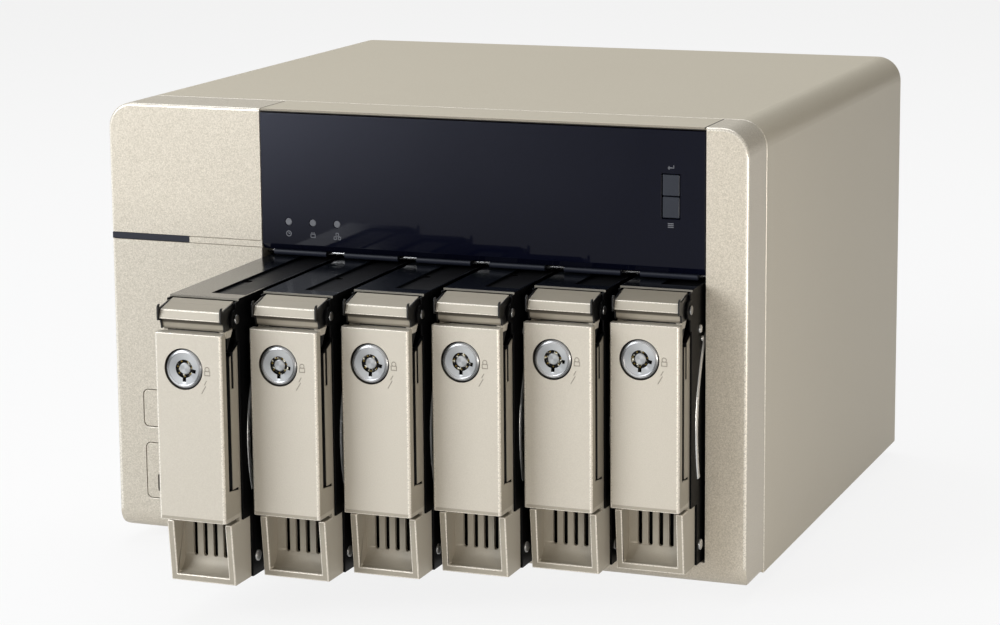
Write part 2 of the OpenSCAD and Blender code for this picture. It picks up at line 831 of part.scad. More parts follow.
module power_supply() {
    wall = 1;
    pin_w = 2;
    pin_h = 4;
    pin_x = 7;
    pin_rise = 3;
    pin_back = 3;
    psu_y0 = panel_y0 - psu_l;
    psu_z1 = psu_z0 + psu_h;
    inlet_y0 = panel_y0 - inlet_d;
    intake_d = 40;
    color(grey) {
        difference() {
            block([psu_x0, psu_y0, psu_z0], [psu_x1, panel_y0, psu_z1]);
            block([psu_x0 + wall, psu_y0 + wall, psu_z0 + wall],
                  [psu_x1 - wall, inlet_y0 - 2 * wall, psu_z1 - wall]);
            block([psu_x0 + wall, inlet_y0 - 3 * wall, inlet_z + inlet_h],
                  [psu_x1 - wall, panel_y0 - wall, psu_z1 - wall]);
            translate([inlet_x, 0, inlet_z])
                along_y(inlet_y0, panel_y0 + cut) square([inlet_w, inlet_h], center = true);
            rod_y(inlet_x, psu_z0 + psu_h / 2, psu_y0 - cut, psu_y0 + wall + cut, intake_d);
            for (p = psu_slots)
                block([p[0] - psu_slot_w / 2, panel_y0 - wall - cut, p[1] - psu_slot_h / 2],
                      [p[0] + psu_slot_w / 2, panel_y0 + cut, p[1] + psu_slot_h / 2]);
        }
        for (k = [-1, 0, 1]) translate([inlet_x + k * pin_x, 0, inlet_z + (k == 0 ? pin_rise : -pin_rise)])
            along_y(inlet_y0 - wall, panel_y0 - pin_back) square([pin_w, pin_h], center = true);
    }
}

// A fan's square frame with its hub on four struts
module fan_frame() {
    corner = 4;
    rim = 2;
    strut_w = 4;
    strut_t = 4;
    hole_d = 4.3;
    difference() {
        union() {
            along_y(fan_y0, panel_y0) difference() {
                round_rect(fan_w, fan_w, corner);
                circle(d = fan_w - 2 * rim);
                for (p = fan_screws) translate(p) circle(d = hole_d);
            }
            along_y(panel_y0 - strut_t, panel_y0) {
                circle(d = hub_d);
                for (a = [0, 90]) rotate(a) square([fan_w - rim, strut_w], center = true);
            }
        }
        rod_y(0, 0, panel_y0 - 2 * strut_t, panel_y0 + cut, shaft_d + 2 * pin_gap);
    }
}

module fan_frames() {
    color(black) for (x = fan_x) translate([x, 0, fan_z]) fan_frame();
}

// A fan's rotor: hub, pitched blades and shaft
module fan_rotor(x) {
    blade_count = 7;
    blade_t = 1.6;
    blade_c = 18;
    blade_in = 1;
    pitch = 40;
    tip_gap = 4;
    hub_in = 3;
    hub_out = 5;
    tip_r = fan_w / 2 - tip_gap;
    y0 = fan_y0 + hub_in;
    y1 = panel_y0 - hub_out;
    color(black) translate([x, 0, fan_z]) {
        rod_y(0, 0, y0, y1, hub_d);
        rod_y(0, 0, y1, panel_y0 - fit_gap, shaft_d);
        for (k = [0:blade_count - 1]) rotate([0, k * 360 / blade_count, 0])
            translate([hub_d / 2 - blade_in, (y0 + y1) / 2, 0]) rotate([pitch, 0, 0])
                translate([0, -blade_t / 2, -blade_c / 2])
                    cube([tip_r - hub_d / 2 + blade_in, blade_t, blade_c]);
    }
}

module fan_rotor_left() {
    fan_rotor(fan_x[0]);
}

module fan_rotor_right() {
    fan_rotor(fan_x[1]);
}

module feet() {
    taper = 2;
    color(black) for (p = foot_places) translate([p[0], p[1], -foot_h]) difference() {
        cylinder(h = foot_h, d1 = foot_d - taper, d2 = foot_d);
        translate([0, 0, -cut]) cylinder(h = foot_h / 2 + cut, d = screw_head_d + 2 * run_gap);
        cylinder(h = foot_h + cut, d = screw_hole_d);
    }
}

// A pan-head screw, its head's seat at z = 0 and its thread below
module screw(l) {
    cylinder(h = screw_head_h, d = screw_head_d);
    translate([0, 0, -l]) cylinder(h = l, d = screw_d);
}

module case_screws() {
    color(steel) {
        for (p = rim_screws) translate([p[0], case_d, p[1]]) rotate([-90, 0, 0]) screw(screw_l);
        for (x = fan_x, p = fan_screws)
            translate([x + p[0], panel_y1, fan_z + p[1]]) rotate([-90, 0, 0]) screw(screw_l);
        for (p = foot_places)
            translate([p[0], p[1], -foot_h / 2]) rotate([180, 0, 0]) screw(foot_h / 2 + sheet - fit_gap);
    }
}

// Trays, each about the middle of its bay, with the lever's face at y = 0

module carrier() {
    half = tray_w / 2;
    ear_r = 3.6;
    ear_gap = 1;
    ear_z0 = wall_top + ear_gap;
    lip_z = scoop_h + tray_z0 + fit_gap;
    floor_w = 8;
    window_side = 3;
    window_x = face_w / 2 - window_side;
    roof_z = tray_z1 - tray_roof;
    color(black) {
        both_sides() {
            along_x(half - tray_wall, half) difference() {
                union() {
                    translate([frame_in, tray_z0]) square([tray_l - frame_in, tray_z1 - tray_z0]);
                    translate([side_in, lip_z]) square([frame_in - side_in + cut, roof_z - lip_z]);
                    translate([pin_in, ear_z0]) square([wall_out - pin_in + cut, roof_z - ear_z0]);
                    translate([pin_in, pin_z]) circle(ear_r);
                }
                translate([pin_in, pin_z]) circle(d = pin_d + 2 * pin_gap);
            }
            side_bead();
            for (p = rivet_places) rod_x(p[0], p[1], half, half + rivet_t, p[2]);
            block([half - floor_w, frame_in, tray_z0], [half, tray_l, drive_z0]);
        }
        block([-half, frame_in, tray_z0], [half, frame_in + floor_w, drive_z0]);
        block([-half, roof_in, roof_z], [half, frame_in + tray_wall, tray_z1]);
        block([-half, frame_in, roof_z], [-half + roof_w, tray_l, tray_z1]);
        block([-half, tray_l - floor_w, roof_z], [half, tray_l, tray_z1]);
        difference() {
            block([-half, frame_in, tray_z0], [half, frame_in + tray_wall, tray_z1]);
            block([-window_x, frame_in - cut, lip_z], [window_x, frame_in + tray_wall + cut, wall_top]);
        }
    }
}

// Rivets on a carrier's sides: set-back, height and diameter
rivet_t = 0.4;
rivet_places = [
    [frame_in + 3, wall_top, 3], [frame_in + 5.5, wall_top - 4, 2], [frame_in + 4, tray_z0 + 7, 4]
];

// The raised bead bowed along a carrier's side
module side_bead() {
    bead_r = 1.3;
    bead_up = 0.5;
    bow_r = 60;
    bow_in = 6;
    bow_drop = 1.4;
    bow_y = side_in + bow_in + bow_r;
    bow_z = (tray_z0 + tray_z1) / 2 - bow_drop;
    bow_above = 35;
    bow_below = 17;
    translate([tray_w / 2 - tray_wall / 2, bow_y, bow_z]) rotate([90, 180 + bow_above, 90])
        rotate_extrude(angle = bow_above + bow_below) translate([bow_r, 0]) intersection() {
            translate([0, tray_wall / 2 + bead_up - bead_r]) circle(bead_r);
            translate([-bead_r, 0]) square([2 * bead_r, bead_r]);
        }
}

module face() {
    half = face_w / 2;
    inner = half - scoop_frame;
    scoop_top = tray_z0 + scoop_h;
    scoop_back = scoop_in + scoop_d;
    floor_z = tray_z0 + scoop_frame;
    front = scoop_in + scoop_lean;
    hollow_r = back_in - front;
    hollow_z = floor_z + hollow_r;
    step_in = heel_d + run_gap;
    step_gap = 1;
    step_z = lever_z0 + heel_h + step_gap;
    back_drop = 4;
    back_z = wall_top - back_drop;
    back_out = back_in + face_wall;
    vent_up = 14;
    vent_top = lever_z0 + vent_up;
    strike_gap = 0.8;
    strike_w = 2;
    strike_down = 8;
    strike_up = 5;
    strike_in = wall_in + strike_gap;
    strike_z = [lock_z - strike_down, lock_z + strike_up];
    color(champagne) difference() {
        union() {
            along_x(-half, half) polygon([
                [front, tray_z0], [scoop_back, tray_z0], [scoop_back, scoop_top], [scoop_in, scoop_top]
            ]);
            both_sides() along_x(half - face_wall, half) polygon([
                [step_in, scoop_top - cut], [step_in, step_z], [wall_in, step_z],
                [wall_in, back_z], [wall_out, wall_top], [wall_out, scoop_top - cut]
            ]);
            block([-half, back_in, tray_z0], [half, back_out, back_z]);
        }
        along_x(-inner, inner) difference() {
            translate([0, floor_z]) square([back_in, scoop_top - floor_z + cut]);
            translate([front, floor_z]) difference() {
                square(hollow_r + cut);
                translate([0, hollow_r]) circle(hollow_r);
                translate([-cut, hollow_r]) square(hollow_r + 2 * cut);
            }
        }
        block([-inner, back_out, floor_z], [inner, scoop_back + cut, scoop_top - face_wall]);
        for (k = [-1.5:1:1.5]) translate([k * vent_pitch, 0, 0]) {
            block([-vent_w / 2, back_in - cut, hollow_z], [vent_w / 2, back_out + cut, vent_top]);
            rod_y(0, hollow_z, back_in - cut, back_out + cut, vent_w);
        }
        block([half - face_wall - cut, strike_in, strike_z[0]],
              [half + cut, strike_in + strike_w, strike_z[1]]);
    }
}

module lever() {
    half = lever_w / 2;
    flat = half - lever_bevel;
    rim = 1.6;
    link_w = 1.8;
    link_x = cap_w / 2 - link_w;
    link_h = 8;
    link_z = lever_z1 - link_h;
    link_top = lever_z1 + cap_slot + cut;
    heel_z = lever_z0 + heel_h;
    heel_rise = 0.8;
    side_z = heel_z + heel_rise;
    side_d = 3.8;
    boss_wall = 1;
    boss_d = lock_recess_d + 2 * boss_wall;
    color(champagne) difference() {
        union() {
            translate([0, 0, lever_z0]) linear_extrude(lever_z1 - lever_z0) polygon([
                [-flat, 0], [flat, 0], [half, lever_bevel],
                [half, lever_d], [-half, lever_d], [-half, lever_bevel]
            ]);
            both_sides() {
                along_x(half - lever_side, half) polygon([
                    [lever_bevel, lever_z0], [heel_d, lever_z0], [heel_d, heel_z],
                    [lever_d, side_z], [lever_bevel, side_z]
                ]);
                along_x(link_x, cap_w / 2) polygon([
                    [lever_t - fit_gap, link_z], [lever_d, link_z], [pin_in + cut, link_top],
                    [apron_in, link_top], [apron_in, lever_z1 - cut]
                ]);
            }
            along_x(-cap_w / 2, cap_w / 2) polygon(cap_outline());
        }
        difference() {
            block([-half + lever_side, lever_t, lever_z0 + rim],
                  [half - lever_side, lever_d + cut, lever_z1 - rim]);
            rod_y(-lock_left, lock_z, 0, lever_d, boss_d);
            both_sides() block([link_x, 0, link_z], [cap_w / 2, lever_d, lever_z1]);
        }
        both_sides() block([half - lever_side, side_d, side_z], [half + cut, lever_d + cut, lever_z1 + cut]);
        rod_y(-lock_left, lock_z, -cut, lock_seat, lock_recess_d);
        rod_y(-lock_left, lock_z, -cut, lever_d + cut, barrel_d + 2 * pin_gap);
        rod_x(pin_in, pin_z, -half, half, pin_d + 2 * pin_gap);
    }
}

// Side outline of the cap: set-backs of its hollow apron, brow and top
apron_back = 3;
apron_in = brow_in + apron_back;
brow_lean = 1.1;
lip_in = 2.2;
lip_drop = 0.4;
hollow_drop = 2;
hollow_lean = 0.2;
cap_slope = 8;
cap_tail = 1.5;

// The cap's side outline, grown by out
function cap_outline(out = 0) = let (
    slot_z = lever_z1 + cap_slot,
    brow_z = lever_z1 + brow_up,
    top_z = lever_z1 + cap_h + out / 2,
    back = pin_in + cap_tail + out,
    brow = brow_in - out,
    apron = apron_in - out
) concat(
    [
        [brow, brow_z - out], [brow + brow_lean, brow_z + brow_h + out / 2],
        [brow_in + cap_slope, top_z], [back, top_z], [back, slot_z + cut]
    ],
    curve(
        [apron, slot_z], [apron - hollow_lean, brow_z - hollow_drop],
        [brow + lip_in, brow_z - lip_drop - out]
    )
);

module latch() {
    plate_up = 0.6;
    head_d = 3.4;
    head_t = 0.3;
    ear_gap = 0.1;
    hook_h = 5;
    hook_w = 1.8;
    hook_tip = 0.9;
    hook_root = 2.4;
    hook_y = brow_in - plate_up;
    brow_z = lever_z1 + brow_up;
    hook_z = brow_z + hook_h;
    pin_x = tray_w / 2 + ear_gap;
    color(black) both_sides() along_x(cap_w / 2, cap_w / 2 + cam_t) difference() {
        union() {
            polygon(cap_outline(plate_up));
            polygon([
                [hook_y, brow_z], [hook_y, hook_z - hook_tip], [hook_y + hook_tip, hook_z],
                [hook_y + hook_w, hook_z], [hook_y + hook_w - hook_tip / 2, hook_z - hook_tip],
                [hook_y + hook_root, brow_z + brow_h], [hook_y + hook_root, brow_z]
            ]);
        }
        translate([pin_in, pin_z]) circle(d = pin_d + 2 * pin_gap);
    }
    color(steel) {
        rod_x(pin_in, pin_z, -pin_x - head_t, pin_x + head_t, pin_d);
        both_sides() rod_x(pin_in, pin_z, pin_x, pin_x + head_t, head_d);
    }
}

// Depth of the seat a lock's face lies on
lock_seat = 2.6;

module lock() {
    ring_r = lock_d / 2;
    ring_bevel = 1.2;
    face_r = ring_r - ring_bevel;
    edge_in = 1.4;
    seat_in = lock_seat - fit_gap;
    post_r = 2.2;
    post_in = 0.9;
    post_bevel = 0.4;
    key_r = 3.3;
    key_in = 0.5;
    key_l = 5;
    notch_w = 1.3;
    notch_l = 1.3;
    notch_r = key_r + notch_l;
    notch_turns = [0, -80];
    cam_w = 5;
    cam_l = 8.5;
    cam_d = 7;
    arm_t = 1.4;
    color(steel) translate([-lock_left, 0, lock_z]) {
        difference() {
            rotate([-90, 0, 0]) rotate_extrude() polygon([
                [0, post_in], [post_r - post_bevel, post_in], [post_r, post_in + post_bevel],
                [post_r, key_l], [key_r, key_l], [key_r, key_in], [face_r, fit_gap],
                [ring_r, edge_in], [ring_r, seat_in], [barrel_d / 2, seat_in],
                [barrel_d / 2, barrel_l], [0, barrel_l]
            ]);
            for (a = notch_turns) rotate([0, a, 0])
                block([-notch_w / 2, -cut, -notch_r], [notch_w / 2, key_l - 1, -post_r]);
        }
        rod_y(0, 0, barrel_l, barrel_l + arm_t, cam_d);
        block([-cam_w / 2, barrel_l, -cam_l], [cam_w / 2, barrel_l + arm_t, 0]);
    }
}

module drive() {
    half = drive_t / 2;
    y1 = drive_in + drive_l;
    z1 = drive_z0 + drive_h;
    lid_t = 1.2;
    lid_in = 3;
    lid_back = 15;
    lid_y1 = y1 - lid_back;
    pocket_x = plug_w / 2 + plug_room;
    pocket_l = 4;
    pocket_z = tray_z0 + plug_up - plug_room;
    pocket_h = plug_h + 2 * plug_room;
    hole_d = 3.4;
    hole_l = 5;
    hole_in = 28;
    color(grey) difference() {
        union() {
            block([-half, drive_in, drive_z0], [half - lid_t, y1, z1]);
            block([half - lid_t, drive_in + lid_in, drive_z0 + lid_in], [half, lid_y1, z1 - lid_in]);
        }
        block([-pocket_x, y1 - pocket_l, pocket_z], [pocket_x, y1 + cut, pocket_z + pocket_h]);
        for (y = [drive_in + hole_in, y1 - hole_in], z = [drive_z0 - cut, z1 - hole_l])
            translate([0, y, z]) cylinder(h = hole_l + cut, d = hole_d);
    }
}

// Put a piece of the case into the frame
module in_place() {
    translate([0, front_y, foot_h]) children();
}

// Put a piece of tray i into its bay, pulled out by its own distance
module in_bay(i) {
    in_place() translate([bay_x(i), -tray_pull[i], 0]) children();
}

in_place() cover();
in_place() base_pan();
in_place() rear_panel();
in_place() front_bezel();
in_place() display_trim();
in_place() display_window();
in_place() status_light_bar();
in_place() indicator_lenses();
in_place() latch_rod();
in_place() lcd_module();
in_place() enter_button();
in_place() select_button();
in_place() power_button();
in_place() copy_button();
in_place() port_sockets();
in_place() drive_cage();
in_place() backplane();
in_place() mainboard();
in_place() power_supply();
in_place() fan_frames();
in_place() fan_rotor_left();
in_place() fan_rotor_right();
in_place() feet();
in_place() case_screws();
for (i = [0:bay_count - 1]) {
    in_bay(i) carrier();
    in_bay(i) face();
    in_bay(i) lever();
    in_bay(i) latch();
    in_bay(i) lock();
    in_bay(i) drive();
}
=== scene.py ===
import json
import math

import bmesh
import bpy
import numpy as np
from mathutils import Matrix, Vector

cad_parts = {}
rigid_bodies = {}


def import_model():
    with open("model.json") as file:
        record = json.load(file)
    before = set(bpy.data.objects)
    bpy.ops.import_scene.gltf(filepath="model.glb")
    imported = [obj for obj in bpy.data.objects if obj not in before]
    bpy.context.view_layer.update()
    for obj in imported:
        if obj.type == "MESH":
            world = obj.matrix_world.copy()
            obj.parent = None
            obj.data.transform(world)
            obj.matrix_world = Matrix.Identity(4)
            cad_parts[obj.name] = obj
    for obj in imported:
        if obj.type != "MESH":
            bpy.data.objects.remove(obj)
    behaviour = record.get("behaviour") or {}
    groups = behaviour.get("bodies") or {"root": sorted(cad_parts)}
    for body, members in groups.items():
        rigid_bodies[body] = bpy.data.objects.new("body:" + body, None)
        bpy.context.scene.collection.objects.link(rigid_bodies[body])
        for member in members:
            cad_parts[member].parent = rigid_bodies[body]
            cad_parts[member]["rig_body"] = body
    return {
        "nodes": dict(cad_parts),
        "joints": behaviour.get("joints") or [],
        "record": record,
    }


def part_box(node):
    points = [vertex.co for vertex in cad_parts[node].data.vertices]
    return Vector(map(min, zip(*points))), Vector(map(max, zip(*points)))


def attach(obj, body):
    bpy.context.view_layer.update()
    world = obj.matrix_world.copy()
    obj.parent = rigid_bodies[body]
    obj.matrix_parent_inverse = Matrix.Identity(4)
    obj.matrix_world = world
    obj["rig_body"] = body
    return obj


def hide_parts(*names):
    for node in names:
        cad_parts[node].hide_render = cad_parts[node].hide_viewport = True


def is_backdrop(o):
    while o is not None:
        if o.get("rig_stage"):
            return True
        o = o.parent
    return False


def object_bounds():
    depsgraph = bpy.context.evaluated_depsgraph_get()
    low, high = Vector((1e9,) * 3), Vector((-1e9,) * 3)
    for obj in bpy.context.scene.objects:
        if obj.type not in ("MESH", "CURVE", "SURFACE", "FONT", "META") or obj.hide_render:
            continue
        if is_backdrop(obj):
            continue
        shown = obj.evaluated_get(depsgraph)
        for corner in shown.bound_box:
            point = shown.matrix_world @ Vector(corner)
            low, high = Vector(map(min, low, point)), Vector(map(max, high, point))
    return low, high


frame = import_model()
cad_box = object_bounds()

MM = 0.001
BAYS = range(1, 7)
X, Y, Z = np.eye(3)


# Places taken from the frame

def corners(node):
    """Lowest and highest corner of a node at rest, as arrays."""
    low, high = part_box(node)
    return np.array(low), np.array(high)


anchor = {joint["name"]: np.array(joint["pos_m"]) for joint in frame["joints"] if "pos_m" in joint}
mount = {row["name"]: np.array(row["pos_m"]) for row in frame["record"]["mounts"]}
slots = {row["node"]: row["material_slot"] for row in frame["record"]["subparts"]}
window_low, window_high = corners("display_window")
bezel_low, bezel_high = corners("front_bezel")
cover_high = corners("cover")[1]
bar_low, bar_high = corners("status_light_bar")
front_y = bezel_low[1]


# Shapes: each gives an array of points and an array of quads

ARC_POINTS = 20


def grid(points, wrap_columns=False):
    """Quads between neighbours of a grid of points; point (i, j) has the number i * columns + j."""
    rows, columns = points.shape[:2]
    steps = columns if wrap_columns else columns - 1
    i, j = np.meshgrid(np.arange(rows - 1), np.arange(steps), indexing="ij")
    here, below = i * columns, (i + 1) * columns
    after = (j + 1) % columns
    quads = np.stack([here + j, here + after, below + after, below + j], -1)
    return points.reshape(-1, 3), quads.reshape(-1, 4)


def gather(shapes):
    """Several shapes as one: each one's quads are numbered on from the points before it."""
    firsts = np.cumsum([0] + [len(points) for points, _ in shapes[:-1]])
    points = np.concatenate([points for points, _ in shapes])
    return points, np.concatenate([quads + first for (_, quads), first in zip(shapes, firsts)])


def square_to(axis):
    """Two unit vectors that are square to an axis and to each other."""
    side = np.cross(axis, Z if abs(axis[2]) < 0.9 else X)
    side = side / np.linalg.norm(side)
    return side, np.cross(axis, side)


def lathe(profile, centre, axis, steps=32, lobes=None):
    """Surface of revolution: profile point (r, h) goes to centre + h * axis + r * (cos a * u +
    sin a * v), with u and v square to the axis. lobes(a), where given, scales r at the points that
    are marked with a third 1."""
    u, v = square_to(axis)
    profile = np.array(profile, float)
    turn = np.linspace(0, 2 * np.pi, steps, endpoint=False)
    radius = np.repeat(profile[:, :1], steps, 1)
    if lobes:
        radius = radius * np.where(profile[:, 2:] > 0.5, lobes(turn), 1.0)
    ring = np.cos(turn)[:, None] * u + np.sin(turn)[:, None] * v
    points = centre + profile[:, 1, None, None] * axis + radius[:, :, None] * ring
    return grid(points, wrap_columns=True)


def prism(outline, low, high):
    """An outline of (x, z) points carried along Y from low to high. Both ends close to their middle."""
    outline = np.array(outline, float)
    middle = np.broadcast_to(outline.mean(0), outline.shape)
    rings = [(middle, low), (outline, low), (outline, high), (middle, high)]
    points = np.stack([np.insert(ring, 1, y, axis=1) for ring, y in rings])
    return grid(points, wrap_columns=True)


def block(low, high):
    """A block between two corners."""
    outline = [(low[0], low[2]), (high[0], low[2]), (high[0], high[2]), (low[0], high[2])]
    return prism(outline, low[1], high[1])


def arc(x, z, radius, start, end):
    """Points (x, z) of a circular arc, with its angles in degrees from +X towards +Z."""
    turn = np.radians(np.linspace(start, end, ARC_POINTS))
    return np.stack([x + radius * np.cos(turn), z + radius * np.sin(turn)], -1)


def stroke(path, width, low, high):
    """A flat bar along a path of (x, z) points: each point gives four corners, half a width to
    either side of the path's direction, at the depths low and high. Both ends close to a point."""
    path = np.array(path, float)
    along = np.gradient(path, axis=0)
    side = np.stack([-along[:, 1], along[:, 0]], -1)
    side *= width / 2 / np.linalg.norm(side, axis=1, keepdims=True)
    rim = [(path + side, low), (path - side, low), (path - side, high), (path + side, high)]
    points = np.stack([np.insert(edge, 1, y, axis=1) for edge, y in rim], 1)
    ends = [np.broadcast_to(row.mean(0), row.shape)[None] for row in (points[0], points[-1])]
    return grid(np.concatenate([ends[0], points, ends[1]]), wrap_columns=True)


# Pieces

MERGE = 1e-6
FLAT = math.radians(0.5)
SMOOTH = math.radians(32)
FLAT_WIDTH = 3 * MM


def link(name, mesh):
    piece = bpy.data.objects.new(name, mesh)
    bpy.context.scene.collection.objects.link(piece)
    return piece


def vertices(mesh):
    points = np.empty(len(mesh.vertices) * 3, np.float32)
    mesh.vertices.foreach_get("co", points)
    return points.reshape(-1, 3)


def shade(mesh):
    """Smooth shading on faces that are narrow, as those of round stretches are, with edges left sharp
    where the faces turn by more than SMOOTH. A face's width is its area over its longest edge. The
    cuts that are marked as seams lie in flat faces and stay smooth."""
    mesh.shade_smooth()
    mesh.set_sharp_from_angle(angle=SMOOTH)
    sharp, seam = np.empty((2, len(mesh.edges)), bool)
    mesh.edges.foreach_get("use_edge_sharp", sharp)
    mesh.edges.foreach_get("use_seam", seam)
    mesh.edges.foreach_set("use_edge_sharp", sharp & ~seam)
    area = np.empty(len(mesh.polygons), np.float32)
    mesh.polygons.foreach_get("area", area)
    start = np.empty(len(mesh.polygons), np.int32)
    mesh.polygons.foreach_get("loop_start", start)
    edge = np.empty(len(mesh.loops), np.int32)
    mesh.loops.foreach_get("edge_index", edge)
    ends = np.empty(len(mesh.edges) * 2, np.int32)
    mesh.edges.foreach_get("vertices", ends)
    ends = vertices(mesh)[ends.reshape(-1, 2)]
    length = np.linalg.norm(ends[:, 1] - ends[:, 0], axis=1)[edge]
    longest = np.maximum.reduceat(length, start)
    mesh.polygons.foreach_set("use_smooth", area < FLAT_WIDTH * longest)


def measure(mesh, origin):
    """Gives a mesh the attribute "local": its points as measured from an origin, in mm."""
    local = mesh.attributes.new("local", "FLOAT_VECTOR", "POINT")
    local.data.foreach_set("vector", ((vertices(mesh) - origin) / MM).astype(np.float32).ravel())


def make(name, shape, material, body, slot, origin=None):
    """A new piece at the origin: doubles are merged and faces turned outwards. "local" is measured
    from the point given as origin."""
    points, quads = shape
    mesh = bpy.data.meshes.new(name)
    mesh.from_pydata(points.tolist(), [], quads.tolist())
    shell = bmesh.new()
    shell.from_mesh(mesh)
    bmesh.ops.remove_doubles(shell, verts=shell.verts, dist=MERGE)
    bmesh.ops.recalc_face_normals(shell, faces=shell.faces)
    shell.to_mesh(mesh)
    shell.free()
    mesh.materials.append(material)
    if origin is not None:
        measure(mesh, origin)
    shade(mesh)
    piece = link(name, mesh)
    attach(piece, body)
    return piece


def sharp_ends(mesh):
    """Which edges are sharp, and both end points of every edge."""
    sharp = np.empty(len(mesh.edges), bool)
    mesh.attributes["sharp_edge"].data.foreach_get("value", sharp)
    ends = np.empty(len(mesh.edges) * 2, np.int32)
    mesh.edges.foreach_get("vertices", ends)
    ends = vertices(mesh)[ends.reshape(-1, 2)]
    return sharp, ends[:, 0], ends[:, 1]


def face_middles(mesh):
    middles = np.empty(len(mesh.polygons) * 3, np.float32)
    mesh.polygons.foreach_get("center", middles)
    return middles.reshape(-1, 3)


def split_at(shell, axis, place):
    """Cuts the faces of a mesh along a plane square to an axis, and marks the cut so that it stays."""
    parts = shell.verts[:] + shell.edges[:] + shell.faces[:]
    plane = {"plane_co": place * axis, "plane_no": axis}
    for part in bmesh.ops.bisect_plane(shell, geom=parts, dist=MERGE, **plane)["geom_cut"]:
        if isinstance(part, bmesh.types.BMEdge):
            part.seam = True


def soften(
    node, materials, width, segments=2, weigh=None, choose=None, edge=None, origin=None, cuts=()
):
    """A copy of a node's solid that stands for it, with its sharp edges rounded to a width.
    weigh(a, b) gives a sharp edge's share of the width from its ends, choose(middles) the number of
    a face's material from its middle, edge the finish of the rounded edges, and origin the point
    that the attribute "local" is measured from, in mm. cuts holds axes and places of planes through
    the holes in flat faces, at which those faces are cut."""
    name = node + "_skin"
    mesh = frame["nodes"][node].data.copy()
    mesh.name = name
    shell = bmesh.new()
    shell.from_mesh(mesh)
    bmesh.ops.remove_doubles(shell, verts=shell.verts, dist=MERGE)
    for axis, place in cuts:
        split_at(shell, axis, place)
    bmesh.ops.dissolve_limit(
        shell, angle_limit=FLAT, verts=shell.verts, edges=shell.edges, delimit={"SEAM"}
    )
    shell.to_mesh(mesh)
    shell.free()
    mesh.materials.clear()
    for material in materials:
        mesh.materials.append(material)
    index = np.zeros(len(mesh.polygons), np.int32)
    if choose:
        index[:] = choose(face_middles(mesh))
    mesh.polygons.foreach_set("material_index", index)
    if origin is not None:
        measure(mesh, origin)
    shade(mesh)
    piece = link(name, mesh)
    bevel = piece.modifiers.new("soft_edges", "BEVEL")
    bevel.width = width
    bevel.segments = segments
    bevel.use_clamp_overlap = False
    bevel.harden_normals = True
    bevel.limit_method = "ANGLE"
    bevel.angle_limit = SMOOTH
    if weigh:
        sharp, a, b = sharp_ends(mesh)
        share = mesh.attributes.new("bevel_weight_edge", "FLOAT", "EDGE")
        share.data.foreach_set("value", np.where(sharp, weigh(a, b), 0.0).astype(np.float32))
        bevel.limit_method = "WEIGHT"
    if edge:
        mesh.materials.append(edge)
        bevel.material = len(materials)
    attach(piece, frame["nodes"][node]["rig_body"])
    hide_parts(node)
    return piece


def repaint(node, material):
    """Gives a node that stays as it is its finish."""
    data = frame["nodes"][node].data
    data.materials.clear()
    data.materials.append(material)


# Shader values and materials

class Value:
    """A number inside a material. Arithmetic on it adds Math nodes."""

    def __init__(self, finish, socket):
        self.finish = finish
        self.socket = socket

    def math(self, operation, *numbers, clamp=False):
        keys = ("Value", "Value_001", "Value_002")
        settings = {"operation": operation, "use_clamp": clamp}
        return self.finish.add("Math", settings, dict(zip(keys, numbers)))["Value"]

    def __add__(self, other):
        return self.math("ADD", self, other)

    __radd__ = __add__

    def __sub__(self, other):
        return self.math("SUBTRACT", self, other)

    def __rsub__(self, other):
        return self.math("SUBTRACT", other, self)

    def __mul__(self, other):
        return self.math("MULTIPLY", self, other)

    __rmul__ = __mul__

    def __truediv__(self, other):
        return self.math("DIVIDE", self, other)

    def __abs__(self):
        return self.math("ABSOLUTE", self)

    def __gt__(self, other):
        return self.math("GREATER_THAN", self, other)

    def __lt__(self, other):
        return self.math("LESS_THAN", self, other)

    def over(self, other):
        """The larger of this value and another."""
        return self.math("MAXIMUM", self, other)

    def clamped(self):
        return self.math("ADD", self, 0.0, clamp=True)

    def sine(self):
        return self.math("SINE", self)

    def length(self, other):
        """Length of the hypotenuse of this value and another."""
        return self.math("SQRT", self * self + other * other)


